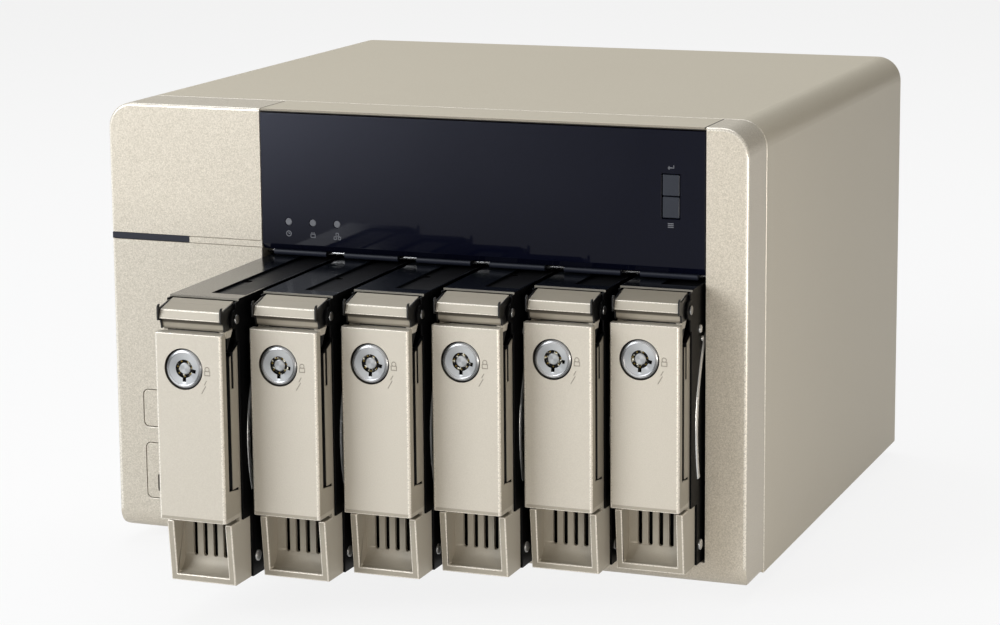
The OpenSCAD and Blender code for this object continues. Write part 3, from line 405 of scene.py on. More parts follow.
class Finish:
    """One node material, round a Principled shader."""

    def __init__(self, name, **constants):
        self.material = bpy.data.materials.new(name)
        self.material.use_nodes = True
        self.tree = self.material.node_tree
        self.shader = self.tree.nodes["Principled BSDF"]
        for socket, value in constants.items():
            self.set(socket.replace("_", " "), value)

    def feed(self, socket, value):
        if isinstance(value, Value):
            self.tree.links.new(value.socket, socket)
        else:
            socket.default_value = value

    def set(self, socket, value):
        self.feed(self.shader.inputs[socket], value)

    def add(self, kind, settings=None, inputs=None):
        """A node of that kind; its settings come first, then values or links by socket identifier."""
        node = self.tree.nodes.new("ShaderNode" + kind)
        for key, value in (settings or {}).items():
            setattr(node, key, value)
        sockets = {socket.identifier: socket for socket in node.inputs}
        for key, value in (inputs or {}).items():
            self.feed(sockets[key], value)
        return {socket.identifier: Value(self, socket) for socket in node.outputs}

    def split(self, vector):
        """The three numbers of a vector."""
        parts = self.add("SeparateXYZ", None, {"Vector": vector})
        return parts["X"], parts["Y"], parts["Z"]

    def place(self):
        return self.add("TexCoord")["Object"]

    def local(self):
        return self.split(self.add("Attribute", {"attribute_name": "local"})["Vector"])

    def noise(self, scale, detail=2.0, stretch=(1, 1, 1)):
        """Noise of about one feature per 1/scale metres, squeezed along the axes by stretch."""
        place = self.add("Mapping", None, {"Vector": self.place(), "Scale": stretch})["Vector"]
        return self.add("TexNoise", None, {"Vector": place, "Scale": scale, "Detail": detail})["Fac"]

    def blend(self, share, first, second):
        inputs = {"Factor_Float": share, "A_Color": first, "B_Color": second}
        return self.add("Mix", {"data_type": "RGBA"}, inputs)["Result_Color"]

    def bump(self, height, depth):
        inputs = {"Height": height, "Distance": depth}
        self.set("Normal", self.add("Bump", None, inputs)["Normal"])


# Flakes per metre in the case's coats and in the trays'
FLAKES = 2700.0
TRAY_FLAKES = 2600.0
# Turn of the painted highlight and shade fans on a turned face, turn of its rings in radians per mm,
# and what keeps its axis finite
HIGHLIGHT_TURN = math.radians(120)
RINGS = 14
AXIS_ROOM = 0.01


def srgb(red, green, blue):
    """The linear colour of an 8-bit display colour."""
    c = np.array([red, green, blue]) / 255
    linear = np.where(c <= 0.04045, c / 12.92, ((c + 0.055) / 1.055) ** 2.4)
    return (*linear.tolist(), 1.0)


def flaked(finish, dark, light, scale, share):
    """A metallic coat's tone and flakes: fine grains between two tones over a faint broad cloud."""
    flake = finish.noise(scale, 1.0)
    cloud = finish.noise(9.0)
    mix = 0.5 + (flake - 0.5) * share + (cloud - 0.5) * 0.18
    return finish.blend(mix.clamped(), dark, light), flake


def champagne(name, dark, light, scale, share, gloss, metal, peel):
    """Champagne coat with flakes of about 1/scale metres; peel is the depth of its unevenness."""
    finish = Finish(name, Metallic=metal, IOR=1.4)
    tone, flake = flaked(finish, dark, light, scale, share)
    finish.set("Base Color", tone)
    finish.set("Roughness", gloss + (flake - 0.5) * 0.12)
    finish.bump(flake + finish.noise(scale / 5) * 2, peel)
    return finish.material


def coat(name, dark, light, gloss, scale, peel, metal=0.0, **constants):
    """A plain coat or moulding: two close tones in soft clouds, with an uneven gloss and skin."""
    finish = Finish(name, Metallic=metal, **constants)
    cloud = finish.noise(scale, 3.0)
    finish.set("Base Color", finish.blend(cloud, dark, light))
    finish.set("Roughness", gloss * (0.8 + cloud * 0.4))
    finish.bump(finish.noise(scale * 12), peel)
    return finish.material


def brushed(name, dark, light, gloss, stretch):
    """Bare metal drawn along one axis: long thin streaks in tone and gloss."""
    finish = Finish(name, Metallic=1.0)
    streak = finish.noise(900.0, 3.0, stretch)
    finish.set("Base Color", finish.blend(streak, dark, light))
    finish.set("Roughness", gloss + (streak - 0.5) * 0.2)
    finish.bump(streak, 0.00002)
    return finish.material


def turned(name, dark, light, gloss, metal, share):
    """Metal turned on a lathe: two fans of painted highlight and two of painted shade, as
    cos(2a - HIGHLIGHT_TURN) gives them at the angle a round the axis, over fine rings, as sin(RINGS *
    r) gives them at the radius r."""
    finish = Finish(name, Metallic=metal)
    x, _, z = finish.local()
    double_sine = x * z * 2
    double_cosine = x * x - z * z
    # Painted highlight and shade: bright and dark fans round the axis
    fan = double_sine * math.sin(HIGHLIGHT_TURN) + double_cosine * math.cos(HIGHLIGHT_TURN)
    fan = fan / (x * x + z * z + AXIS_ROOM)
    ring = (x.length(z) * RINGS).sine()
    mix = (0.5 + fan * share + ring * 0.08 + (finish.noise(160.0) - 0.5) * 0.3).clamped()
    finish.set("Base Color", finish.blend(mix, dark, light))
    finish.set("Roughness", gloss + ring * 0.04)
    finish.bump(ring, 0.000004)
    return finish.material


def painted_glints(name, dark, light, gloss, scale):
    """Metal deep in a groove, painted with shade and glints: hard patches of light on a dark ground."""
    finish = Finish(name, Metallic=0.8)
    # Painted glints on a ground of painted shade
    glint = ((finish.noise(scale) - 0.5) * 9 - 0.5).clamped()
    finish.set("Base Color", finish.blend(glint, dark, light))
    finish.set("Roughness", gloss + glint * 0.1)
    finish.bump(glint, 0.00005)
    return finish.material


def smoked_plastic(name, far, near, gloss):
    """Smoked window: navy black with a painted reflection that lightens it towards its upper left."""
    finish = Finish(name, IOR=1.45, Specular_IOR_Level=0.15)
    x, _, z = finish.split(finish.place())
    width, _, height = (window_high - window_low).tolist()
    left = (window_high[0] - x) / width
    up = (z - window_low[2]) / height
    haze = finish.noise(14.0)
    # Painted reflection, lighter towards the upper left
    clear = (left * left * up + (haze - 0.5) * 0.15).clamped()
    finish.set("Base Color", finish.blend(clear, far, near))
    finish.set("Roughness", gloss + haze * 0.05)
    finish.bump(finish.noise(40.0), 0.000004)
    return finish.material


# Places on a tray's front, in mm from the middle of the lock's face: how far the lock lies to the
# left of the lever's middle, and half width, depth and heights of the hollows behind the lever,
# which are painted near black as shade
LOCK_LEFT = 1.8
LEVER_HOLLOW = (11.5, 2.4)
WALL_HOLLOW = (12.6, 5.0)
HOLLOW_SPAN = (-53.0, 10.5)
# Heights of the cap: its lower end, the end of the painted shade at its foot, the start of the painted
# shade under its brow and the brow's foot, and the start of its slope, which is painted darker
CAP_UP = 13.0
CAP_FOOT = 14.1
BROW = (15.3, 17.15)
SLOPE_UP = 20.5
# Top of the scoop, half width of the flanks, half width and depth of the lever's chamfers
SCOOP_DOWN = -54.0
FLANK = 12.55
CHAMFER = (12.3, 0.7)
# Radius of the lock's recess, painted dark as shade, and the depth behind the lever's face where that
# starts
RECESS_RADIUS = 7.55
RECESS_FRONT = 0.05
# Width and depth of the cuts beside the lock: the padlock's shackle, its body and two strokes
CUT_WIDTH = 0.4
CUT_BACK = 0.3
SHACKLE = (9.3, 0.5)
SHACKLE_RADIUS = 0.8
BODY_TOP = -0.2
LOCK_CUTS = [
    ((8.3, BODY_TOP), (10.3, BODY_TOP)), ((10.3, BODY_TOP), (10.3, -1.7)),
    ((10.3, -1.7), (8.3, -1.7)), ((8.3, -1.7), (8.3, BODY_TOP)),
    ((8.9, -3.7), (8.1, -5.1)), ((8.6, -5.6), (7.0, -8.3)),
]


def from_segment(x, z, start, end):
    """Distance of (x, z) from the straight line between two points."""
    start, along = np.array(start), np.subtract(end, start)
    step = along / (along @ along)
    share = ((x - start[0]) * step[0] + (z - start[1]) * step[1]).clamped()
    return (x - start[0] - share * along[0]).length(z - start[1] - share * along[1])


def tray_champagne(name, dark, light):
    """The trays' satin coat, with light and shade painted into its tone: painted shade near black
    behind the lever, dark in the lock's recess, under the cap's brow and at the cap's foot, and as a
    darker tone on the cap, scoop and flanks, stronger on the cap's slope and weaker on the scoop's
    flanks;
    painted highlights on the face of the brow and on the lever's chamfers. It has a small padlock and
    two slanted strokes cut beside the lock; x, y and z start at the middle of the lock's face."""
    finish = Finish(name, Metallic=0.15, IOR=1.4)
    shade_tone, shadow, chamfer_highlight = srgb(122, 113, 95), srgb(58, 53, 45), srgb(236, 230, 219)
    tone, flake = flaked(finish, dark, light, TRAY_FLAKES, 1.0)
    x, y, z = finish.local()
    aside = abs(x - LOCK_LEFT)
    # Painted shade: near black in the hollows behind the lever and its walls
    behind_lever = (aside < LEVER_HOLLOW[0]) * (y > LEVER_HOLLOW[1])
    behind_walls = (aside < WALL_HOLLOW[0]) * (y > WALL_HOLLOW[1])
    inside = behind_lever.over(behind_walls) * (z > HOLLOW_SPAN[0]) * (z < HOLLOW_SPAN[1])
    # Painted shade in the lock's recess
    recess = (x.length(z) < RECESS_RADIUS) * (y > RECESS_FRONT)
    shackle = (x - SHACKLE[0]).length(z - SHACKLE[1]) - SHACKLE_RADIUS
    cuts = [abs(shackle).over(BODY_TOP - z)]
    cuts += [from_segment(x, z, start, end) for start, end in LOCK_CUTS]
    groove = 0.0
    for distance in cuts:
        groove = ((CUT_WIDTH / 2 - distance) * (4 / CUT_WIDTH)).clamped().over(groove)
    groove = groove * (y < CUT_BACK)
    # Painted shade: a darker tone on the cap, the scoop and the flanks, taken partly back on the
    # scoop's flanks and deepened on the cap's slope, with a painted highlight on the brow's face and
    # painted shadow under the brow and just above the slot
    deep = (z > CAP_UP).over(z < SCOOP_DOWN).over((aside > FLANK) * (y > CHAMFER[1]))
    brow_shade = ((z - BROW[0]) * 2).clamped() * (z < BROW[1])
    slot_shade = (CAP_FOOT - z).clamped() * (z > CAP_UP)
    tone = finish.blend(deep * 0.5, tone, shade_tone)
    tone = finish.blend((aside > FLANK) * (z < SCOOP_DOWN) * 0.5, tone, light)
    tone = finish.blend((z > SLOPE_UP) * 0.35, tone, shade_tone)
    tone = finish.blend((z > BROW[1]) * (z < SLOPE_UP) * 0.2, tone, light)
    tone = finish.blend(brow_shade.over(slot_shade) * 0.85, tone, shadow)
    # Painted highlight on the lever's chamfers
    tone = finish.blend((aside > CHAMFER[0]) * (y < CHAMFER[1]) * 0.5, tone, chamfer_highlight)
    tone = finish.blend(groove * 0.6, tone, srgb(104, 95, 82))
    tone = finish.blend(recess, tone, srgb(70, 65, 58))
    finish.set("Base Color", finish.blend(inside, tone, srgb(12, 12, 13)))
    finish.set("Roughness", 0.5 + (flake - 0.5) * 0.12)
    finish.bump(flake * 0.1 - groove, 0.00012)
    return finish.material


panel_paint = champagne(
    "panel_paint", srgb(177, 169, 153), srgb(226, 218, 203), FLAKES, 1.5, 0.45, 0.25, 0.00003
)
cover_paint = champagne(
    "cover_paint", srgb(194, 185, 166), srgb(212, 204, 186), FLAKES, 1.0, 0.46, 0.15, 0.00002
)
trim_front = champagne(
    "trim_front", srgb(132, 125, 112), srgb(150, 143, 129), FLAKES, 1.0, 0.5, 0.15, 0.00002
)
# Lighter and glossier champagne for the rounded edges of the bezel, cover, levers and scoops: a painted
# highlight
edge_paint = champagne(
    "edge_paint", srgb(220, 213, 199), srgb(234, 228, 216), FLAKES, 1.0, 0.28, 0.3, 0.00001
)
lever_paint = tray_champagne("lever_paint", srgb(188, 181, 168), srgb(206, 200, 187))
smoked = smoked_plastic("smoked_window", srgb(8, 10, 24), srgb(56, 58, 68), 0.02)
smoked_key = coat("smoked_key", srgb(34, 38, 47), srgb(42, 46, 55), 0.35, 90.0, 0.00001, IOR=1.4)
light_guide = coat(
    "light_guide", srgb(26, 29, 40), srgb(34, 38, 50), 0.5, 60.0, 0.00001, Specular_IOR_Level=0.3
)
lens_plastic = coat("lens_plastic", srgb(92, 94, 100), srgb(112, 114, 120), 0.3, 200.0, 0.00001)
black_coat = coat("black_coat", srgb(14, 16, 20), srgb(22, 25, 30), 0.16, 70.0, 0.00002, IOR=1.6)
side_coat = coat(
    "side_coat", srgb(8, 8, 9), srgb(13, 13, 14), 0.4, 70.0, 0.00002, Specular_IOR_Level=0.06
)
# Bright metal: the rivets' own, and on the carriers' black gloss beads and bows a painted highlight
nickel = coat("nickel", srgb(196, 196, 195), srgb(222, 222, 221), 0.26, 300.0, 0.00002, metal=0.6)
cam_black = coat("cam_black", srgb(10, 10, 11), srgb(18, 18, 19), 0.3, 120.0, 0.00002)
black_plastic = coat("black_plastic", srgb(18, 18, 19), srgb(27, 27, 28), 0.5, 150.0, 0.00006)
drive_coat = coat(
    "drive_coat", srgb(13, 13, 15), srgb(20, 20, 22), 0.5, 90.0, 0.00004, Specular_IOR_Level=0.25
)
# Grey coat: the own paint of the rear, base pan and supply, and on the carriers' roof edges a painted
# highlight
grey_coat = coat(
    "grey_coat", srgb(118, 114, 105), srgb(132, 128, 118), 0.5, 220.0, 0.00005, metal=0.5
)
rubber = coat("rubber", srgb(20, 20, 20), srgb(30, 30, 30), 0.75, 300.0, 0.0001)
board_mask = coat("board_mask", srgb(16, 58, 36), srgb(24, 78, 48), 0.38, 160.0, 0.00004)
chrome = turned("lock_chrome", srgb(96, 97, 98), srgb(222, 223, 224), 0.26, 0.6, 0.45)
lock_face = turned("lock_face", srgb(148, 150, 152), srgb(192, 194, 195), 0.36, 0.5, 0.35)
keyway = painted_glints("keyway", srgb(10, 9, 7), srgb(232, 228, 210), 0.15, 800.0)
steel = brushed("bright_steel", srgb(150, 150, 150), srgb(205, 205, 205), 0.22, (0.03, 1, 1))
sheet_steel = brushed("sheet_steel", srgb(136, 136, 136), srgb(170, 170, 170), 0.34, (0.05, 1, 1))
brass = coat("brass", srgb(112, 92, 42), srgb(150, 126, 62), 0.3, 400.0, 0.00001, metal=1.0)
# Dark brown for the trim's rounded lower edge and ends: painted shade in the seams there
seam_paint = coat("seam_paint", srgb(38, 35, 31), srgb(52, 48, 43), 0.6, 200.0, 0.00001)
mark_ink = coat("mark_ink", srgb(96, 98, 104), srgb(112, 114, 120), 0.5, 300.0, 0.00001)
panel_ink = coat("panel_ink", srgb(120, 112, 102), srgb(132, 124, 114), 0.5, 300.0, 0.00001)


# Case

# How close an edge or a face's middle lies to a plane that it counts as on
EDGE = 1e-5
TOUCH = 0.05 * MM
NEAR = 0.1 * MM
RIM_NEAR = 0.2 * MM
ACCENT_NEAR = 0.5 * MM
# Size of the bezel's corner bends, and height of its sill's roll
CORNER = 10 * MM
SILL = 8.5 * MM


def bezel_share(a, b):
    """Full width on the bezel's outer front outline, half on its outer seam, a fifth on the other
    edges of its front face, and none on the accent's seams, on the sill's roll and inside."""
    middle = (a + b) / 2
    on_front = np.maximum(abs(a[:, 1] - front_y), abs(b[:, 1] - front_y)) < EDGE
    on_seam = np.maximum(abs(a[:, 1] - bezel_high[1]), abs(b[:, 1] - bezel_high[1])) < EDGE
    out = abs(middle[:, 0]) > bezel_high[0] - RIM_NEAR
    top = middle[:, 2] > bezel_high[2] - RIM_NEAR
    bend = (abs(middle[:, 0]) > bezel_high[0] - CORNER) & (middle[:, 2] > bezel_high[2] - CORNER)
    rim = out | top | bend
    accent = (middle[:, 2] > bar_low[2] - ACCENT_NEAR) & (middle[:, 2] < bar_high[2] + ACCENT_NEAR)
    roll = (middle[:, 2] < bezel_low[2] + SILL) & ~rim
    share = np.where(on_front, np.where(rim, 1.0, 0.2), np.where(on_seam & rim, 0.5, 0.0))
    return np.where(accent | roll, 0.0, share)


def trim_share(a, b):
    """Full width on the trim's lower front edge, and half on its ends, which carry the painted shade of
    the seams there.
    """
    middle = (a + b) / 2
    low, high = corners("display_trim")
    lower = (abs(middle[:, 1] - low[1]) < EDGE) & (middle[:, 2] < high[2] - EDGE)
    ends = np.minimum(abs(middle[:, 0] - low[0]), abs(middle[:, 0] - high[0])) < EDGE
    return np.where(ends, 0.5, np.where(lower, 1.0, 0.0))


sockets_low, sockets_high = corners("port_sockets")
# Half widths and half heights of the mains inlet's pocket and of the room its pins take, and its depth
INLET_SIZE = np.array([12.2, 8.3]) * MM
INLET_PINS = np.array([8.4, 5.2]) * MM
INLET_DEPTH = 15 * MM
inlet = mount["mains_inlet"]
inlet_floor = corners("power_supply")[1][1] - INLET_DEPTH


def socket_regions(middles):
    """Sockets are bright on their open ends and on what shows of their shells, and black inside."""
    ends = np.minimum(abs(middles[:, 1] - sockets_low[1]), abs(middles[:, 1] - sockets_high[1]))
    return np.where(ends < TOUCH, 1, 0)


def inlet_regions(middles):
    """The mains inlet is black inside, with bright pins that stand clear of its walls and floor."""
    aside = abs(middles[:, [0, 2]] - inlet[[0, 2]])
    rise = middles[:, 1] - inlet_floor
    in_pocket = (aside < INLET_SIZE).all(1) & (rise > -NEAR)
    pins = in_pocket & (aside < INLET_PINS).all(1) & (rise > NEAR)
    return np.where(pins, 2, np.where(in_pocket, 1, 0))


bezel_cuts = [(X, np.mean(corners(node), axis=0)[0]) for node in ("power_button", "display_window")]
soften(
    "front_bezel", [panel_paint], 1.2 * MM, 4, weigh=bezel_share, edge=edge_paint, cuts=bezel_cuts
)
soften(
    "display_trim", [cover_paint, trim_front], 0.5 * MM, weigh=trim_share,
    choose=lambda middles: middles[:, 1] < front_y + EDGE, edge=seam_paint,
)
soften("cover", [cover_paint], 0.35 * MM, 3, edge=edge_paint)
soften("display_window", [smoked], 0.15 * MM)
soften("status_light_bar", [light_guide], 0.15 * MM)
soften("power_button", [panel_paint], 0.3 * MM, 3)
soften("copy_button", [panel_paint], 0.3 * MM, 3)
soften("enter_button", [smoked_key], 0.4 * MM, 3)
soften("select_button", [smoked_key], 0.4 * MM, 3)
soften("rear_panel", [grey_coat], 0.12 * MM)
soften("base_pan", [grey_coat], 0.2 * MM)
soften("feet", [rubber], 0.6 * MM, 3)
soften("drive_cage", [black_coat], 0.12 * MM)
soften("port_sockets", [black_plastic, sheet_steel], 0.08 * MM, choose=socket_regions)
soften("power_supply", [grey_coat, black_plastic, sheet_steel], 0.2 * MM, choose=inlet_regions)
soften("fan_frames", [black_plastic], 0.3 * MM)
repaint("latch_rod", steel)
repaint("lcd_module", board_mask)
repaint("backplane", board_mask)
repaint("mainboard", board_mask)


LENS_ABOVE = 7 * MM


def lens_or_guide(middles):
    """The round lenses lie well above the window's lower edge, and the bars below it."""
    return np.where(middles[:, 2] > window_low[2] + LENS_ABOVE, 1, 0)


soften("indicator_lenses", [light_guide, lens_plastic], 0.2 * MM, choose=lens_or_guide)


# Marks: plain signs in place of printed words

MARK_PROUD = 0.02 * MM
MARK_SUNK = 0.05 * MM
LINE = 0.32 * MM
WINDOW_SIGN = 1.1 * MM
BUTTON_SIGN = 1.7 * MM
COPY_SIGN_UP = 6 * MM
KEY_SIGN_GAP = 2.6 * MM


def mark(name, paths, place, y, scale, material, node):
    """Strokes along paths of (x, z) points, scaled about a place and lying on a face at depth y."""
    strokes = []
    for path in paths:
        points = np.array(place) + np.array(path, float) * scale
        strokes.append(stroke(points, LINE, y - MARK_PROUD, y + MARK_SUNK))
    make(name, gather(strokes), material, frame["nodes"][node]["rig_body"], slots[node])


def window_mark(name, paths, x, z):
    """A sign printed on the window."""
    mark(name, paths, (x, z), window_low[1], WINDOW_SIGN, mark_ink, "display_window")


SQUARE = [(-1, -1), (0, -1), (1, -1), (1, 0), (1, 1), (0, 1), (-1, 1), (-1, 0), (-1, -1)]
small = np.array(SQUARE) * 0.45
STATUS_SIGN = [arc(0, 0, 0.9, 0, 360), [(0, 0), (0, 0.55)], [(0, 0), (0.45, 0)]]
PLUG_SIGN = [
    np.array(SQUARE) * (0.8, 0.55) + (0, -0.35),
    [(-0.4, 0.2), (-0.4, 0.9)], [(0.4, 0.2), (0.4, 0.9)],
]
NETWORK_SIGN = [
    small + (0, 0.6), small + (-0.8, -0.7), small + (0.8, -0.7),
    [(0, 0.15), (0, -0.05)], [(-0.8, -0.25), (-0.8, -0.05), (0.8, -0.05), (0.8, -0.25)],
]
RETURN_SIGN = [
    [(1, 0.8), (1, -0.1), (0, -0.1), (-1, -0.1)], [(-0.5, 0.4), (-1, -0.1), (-0.5, -0.6)],
]
LIST_SIGN = [[(-1, h), (0, h), (1, h)] for h in (0.6, 0.0, -0.6)]
POWER_SIGN = [arc(0, 0, 1.0, 120, 420), [(0, 0.3), (0, 1.2)]]
COPY_SIGN = [
    np.array(SQUARE) * 0.7 + (-0.3, 0.3),
    [(0.7, 0.4), (1.0, 0.4), (1.0, -1.0), (-0.4, -1.0), (-0.4, -0.7)],
]

LENS_FROM_LEFT = 11.1 * MM
LENS_PITCH = 10.05 * MM
SIGN_UP = 6.4 * MM
lens_x = window_low[0] + LENS_FROM_LEFT + np.arange(3) * LENS_PITCH
lens_signs = {"status_sign": STATUS_SIGN, "usb_sign": PLUG_SIGN, "network_sign": NETWORK_SIGN}
for (name, paths), x in zip(lens_signs.items(), lens_x):
    window_mark(name, paths, x, window_low[2] + SIGN_UP)
enter_low, enter_high = corners("enter_button")
key_x = (enter_low[0] + enter_high[0]) / 2
window_mark("enter_sign", RETURN_SIGN, key_x, enter_high[2] + KEY_SIGN_GAP)
window_mark("select_sign", LIST_SIGN, key_x, corners("select_button")[0][2] - KEY_SIGN_GAP)
for node, paths, up in (("power_button", POWER_SIGN, 0.0), ("copy_button", COPY_SIGN, COPY_SIGN_UP)):
    low, high = corners(node)
    place = ((low[0] + high[0]) / 2, (low[2] + high[2]) / 2 + up)
    mark(f"{node}_sign", paths, place, low[1], BUTTON_SIGN, panel_ink, node)


# Trays

# Half width of a carrier, how far its relief stands proud at least, and where its roof starts behind
# and above the hinge pin
CARRIER_HALF = 13.6 * MM
CARRIER_PROUD = 0.02 * MM
ROOF_BACK = 2.4 * MM
ROOF_UP = 5 * MM
# From a lock: drop of the slots in a face's walls, depth to which edges count as front edges, and
# radius within which the lever's edges stay sharp
STRIKE_DROP = 1.5 * MM
SCOOP_FRONT = 12 * MM
RECESS_CLEAR = 8 * MM
# Radius and angles of a bow, set-back and drop of its centre from the lock, how far it is sunk, and
# half thickness and half width of its bead
BOW_RADIUS = 60 * MM
BOW_SPAN = (-17, 35)
BOW_BACK, BOW_DROP = 79.1 * MM, 29.6 * MM
BOW_SUNK = 0.1 * MM
BEAD = np.array([0.62, 1.25]) * MM
RIVET_PROUD = 0.4 * MM
DOME_RISE = 0.3 * MM
# Set-back behind the lever's face, height above the lock and radius of each rivet
RIVETS = np.array([(23.2, 7.7, 1.5), (25.7, 3.7, 1.0), (24.2, -73.0, 2.0)]) * MM
# Outline of a cap's back behind and above the hinge pin, and its half width
CAP_BACK = np.array([(-2.3, 5.0), (-2.3, 5.14), (1.5, 6.03), (1.5, 5.0)]) * MM
CAP_HALF = 11.9 * MM
PIN_HEAD_RADIUS = 1.7 * MM
PIN_HEAD_PROUD = 0.4 * MM
# Radii of a lock's face and keyway, depth behind which all is keyway, number of the pins in it, and
# the first one's angle in degrees
LOCK_FACE_RADIUS = 5.95 * MM
KEYWAY_RADII = (2.25 * MM, 3.35 * MM)
KEYWAY_BACK = 1.5 * MM
PIN_COUNT = 7
FIRST_PIN = 64
# Radius and depth along a lock's keyway floor, one of its pins and its rolled rim
KEYWAY_RING = np.array([(2.05, 1.2), (3.45, 1.2), (3.45, 2), (2.05, 2), (2.05, 1.2)]) * MM
LOCK_PIN = np.array([(0, 0.95), (0.2, 0.95), (0.3, 1.05), (0.3, 3), (0, 3)]) * MM
LOCK_RIM = MM * np.array([
    (5.7, 0.6), (5.75, 0.22), (6.0, 0.12), (6.4, 0.2), (6.8, 0.42), (7.05, 0.75), (7.1, 1.2),
    (7.0, 1.6), (5.7, 0.6),
])


def dome(centre, axis, radius, rise):
    """A low dome: out radius * cos t and up rise * sin t, with t from 0 to a right angle."""
    t = np.linspace(0, np.pi / 2, 7)
    return lathe(np.stack([radius * np.cos(t), rise * np.sin(t)], -1), centre, axis, 20)


def lock_regions(centre):
    """A lock's faces by their distance from its axis: keyway painted with shade and glints, grey face
    and chrome rim.
    """

    def choose(middles):
        radius = np.hypot(middles[:, 0] - centre[0], middles[:, 2] - centre[2])
        depth = middles[:, 1] - centre[1]
        ring = (radius > KEYWAY_RADII[0] - NEAR) & (radius < KEYWAY_RADII[1])
        groove = ring | (depth > KEYWAY_BACK)
        return np.where(groove, 2, np.where(radius < LOCK_FACE_RADIUS, 1, 0))

    return choose


def latch_regions(pin):
    """The hinge pin and its heads are bright; the cam plates beside the cap are black."""

    def choose(middles):
        radius = np.hypot(middles[:, 1] - pin[1], middles[:, 2] - pin[2])
        return np.where(radius < PIN_HEAD_RADIUS + NEAR, 1, 0)

    return choose


def carrier_regions(pin):
    """A carrier's rivets, which stand proud of its side, are bright metal, and so is its bead, as a
    painted highlight on its black gloss; the front edge of its roof is grey, a painted highlight. Its
    roof is glossier than its sides."""

    def choose(middles):
        proud = abs(middles[:, 0] - pin[0]) > CARRIER_HALF + CARRIER_PROUD
        roof = middles[:, 2] > pin[2] + ROOF_UP
        # Painted highlight on the roof's front edge
        brink_highlight = (abs(middles[:, 1] - pin[1] - ROOF_BACK) < TOUCH) & roof
        return np.select([brink_highlight, proud, roof], [3, 1, 0], 2)

    return choose


def lever_share(lock):
    """Full width on the outline of a lever's face and on the front edges of its cap, and none on the
    lock's recess and inside."""

    def weigh(a, b):
        middle = (a + b) / 2 - lock
        from_lock = np.hypot(middle[:, 0], middle[:, 2])
        face = (middle[:, 1] < CHAMFER[1] * MM) & (from_lock > RECESS_CLEAR)
        cap = (middle[:, 2] > BROW[1] * MM) & (middle[:, 1] < SCOOP_FRONT)
        return face | cap

    return weigh


def scoop_share(lock):
    """Full width on the front edges of a face's scoop, and none elsewhere."""

    def weigh(a, b):
        middle = (a + b) / 2 - lock
        return (middle[:, 2] < SCOOP_DOWN * MM) & (middle[:, 1] < SCOOP_FRONT)

    return weigh


def cap_back(pin):
    """The back of a cap, which carries its slope up to the roof: an outline of (y, z) points about
    the hinge pin, carried along X."""
    points, quads = prism(CAP_BACK, -CAP_HALF, CAP_HALF)
    return points[:, [1, 0, 2]] + pin, quads


def bow(middle, side):
    """A half-round bead along an arc: the point at t on the arc is middle + BOW_RADIUS * n, with
    n = (0, -cos t, sin t), and its section an ellipse along X and n."""
    t = np.radians(np.linspace(*BOW_SPAN, 40))
    a = np.linspace(0, 2 * np.pi, 20, endpoint=False)
    n = np.stack([0 * t, -np.cos(t), np.sin(t)], -1)
    path = middle + BOW_RADIUS * n
    section = BEAD[0] * np.cos(a)[:, None] * side + BEAD[1] * np.sin(a)[:, None] * n[:, None]
    points = path[:, None] + section
    ends = [np.repeat(row[None, None], len(a), 1) for row in (path[0], path[-1])]
    return grid(np.concatenate([ends[0], points, ends[1]]), wrap_columns=True)


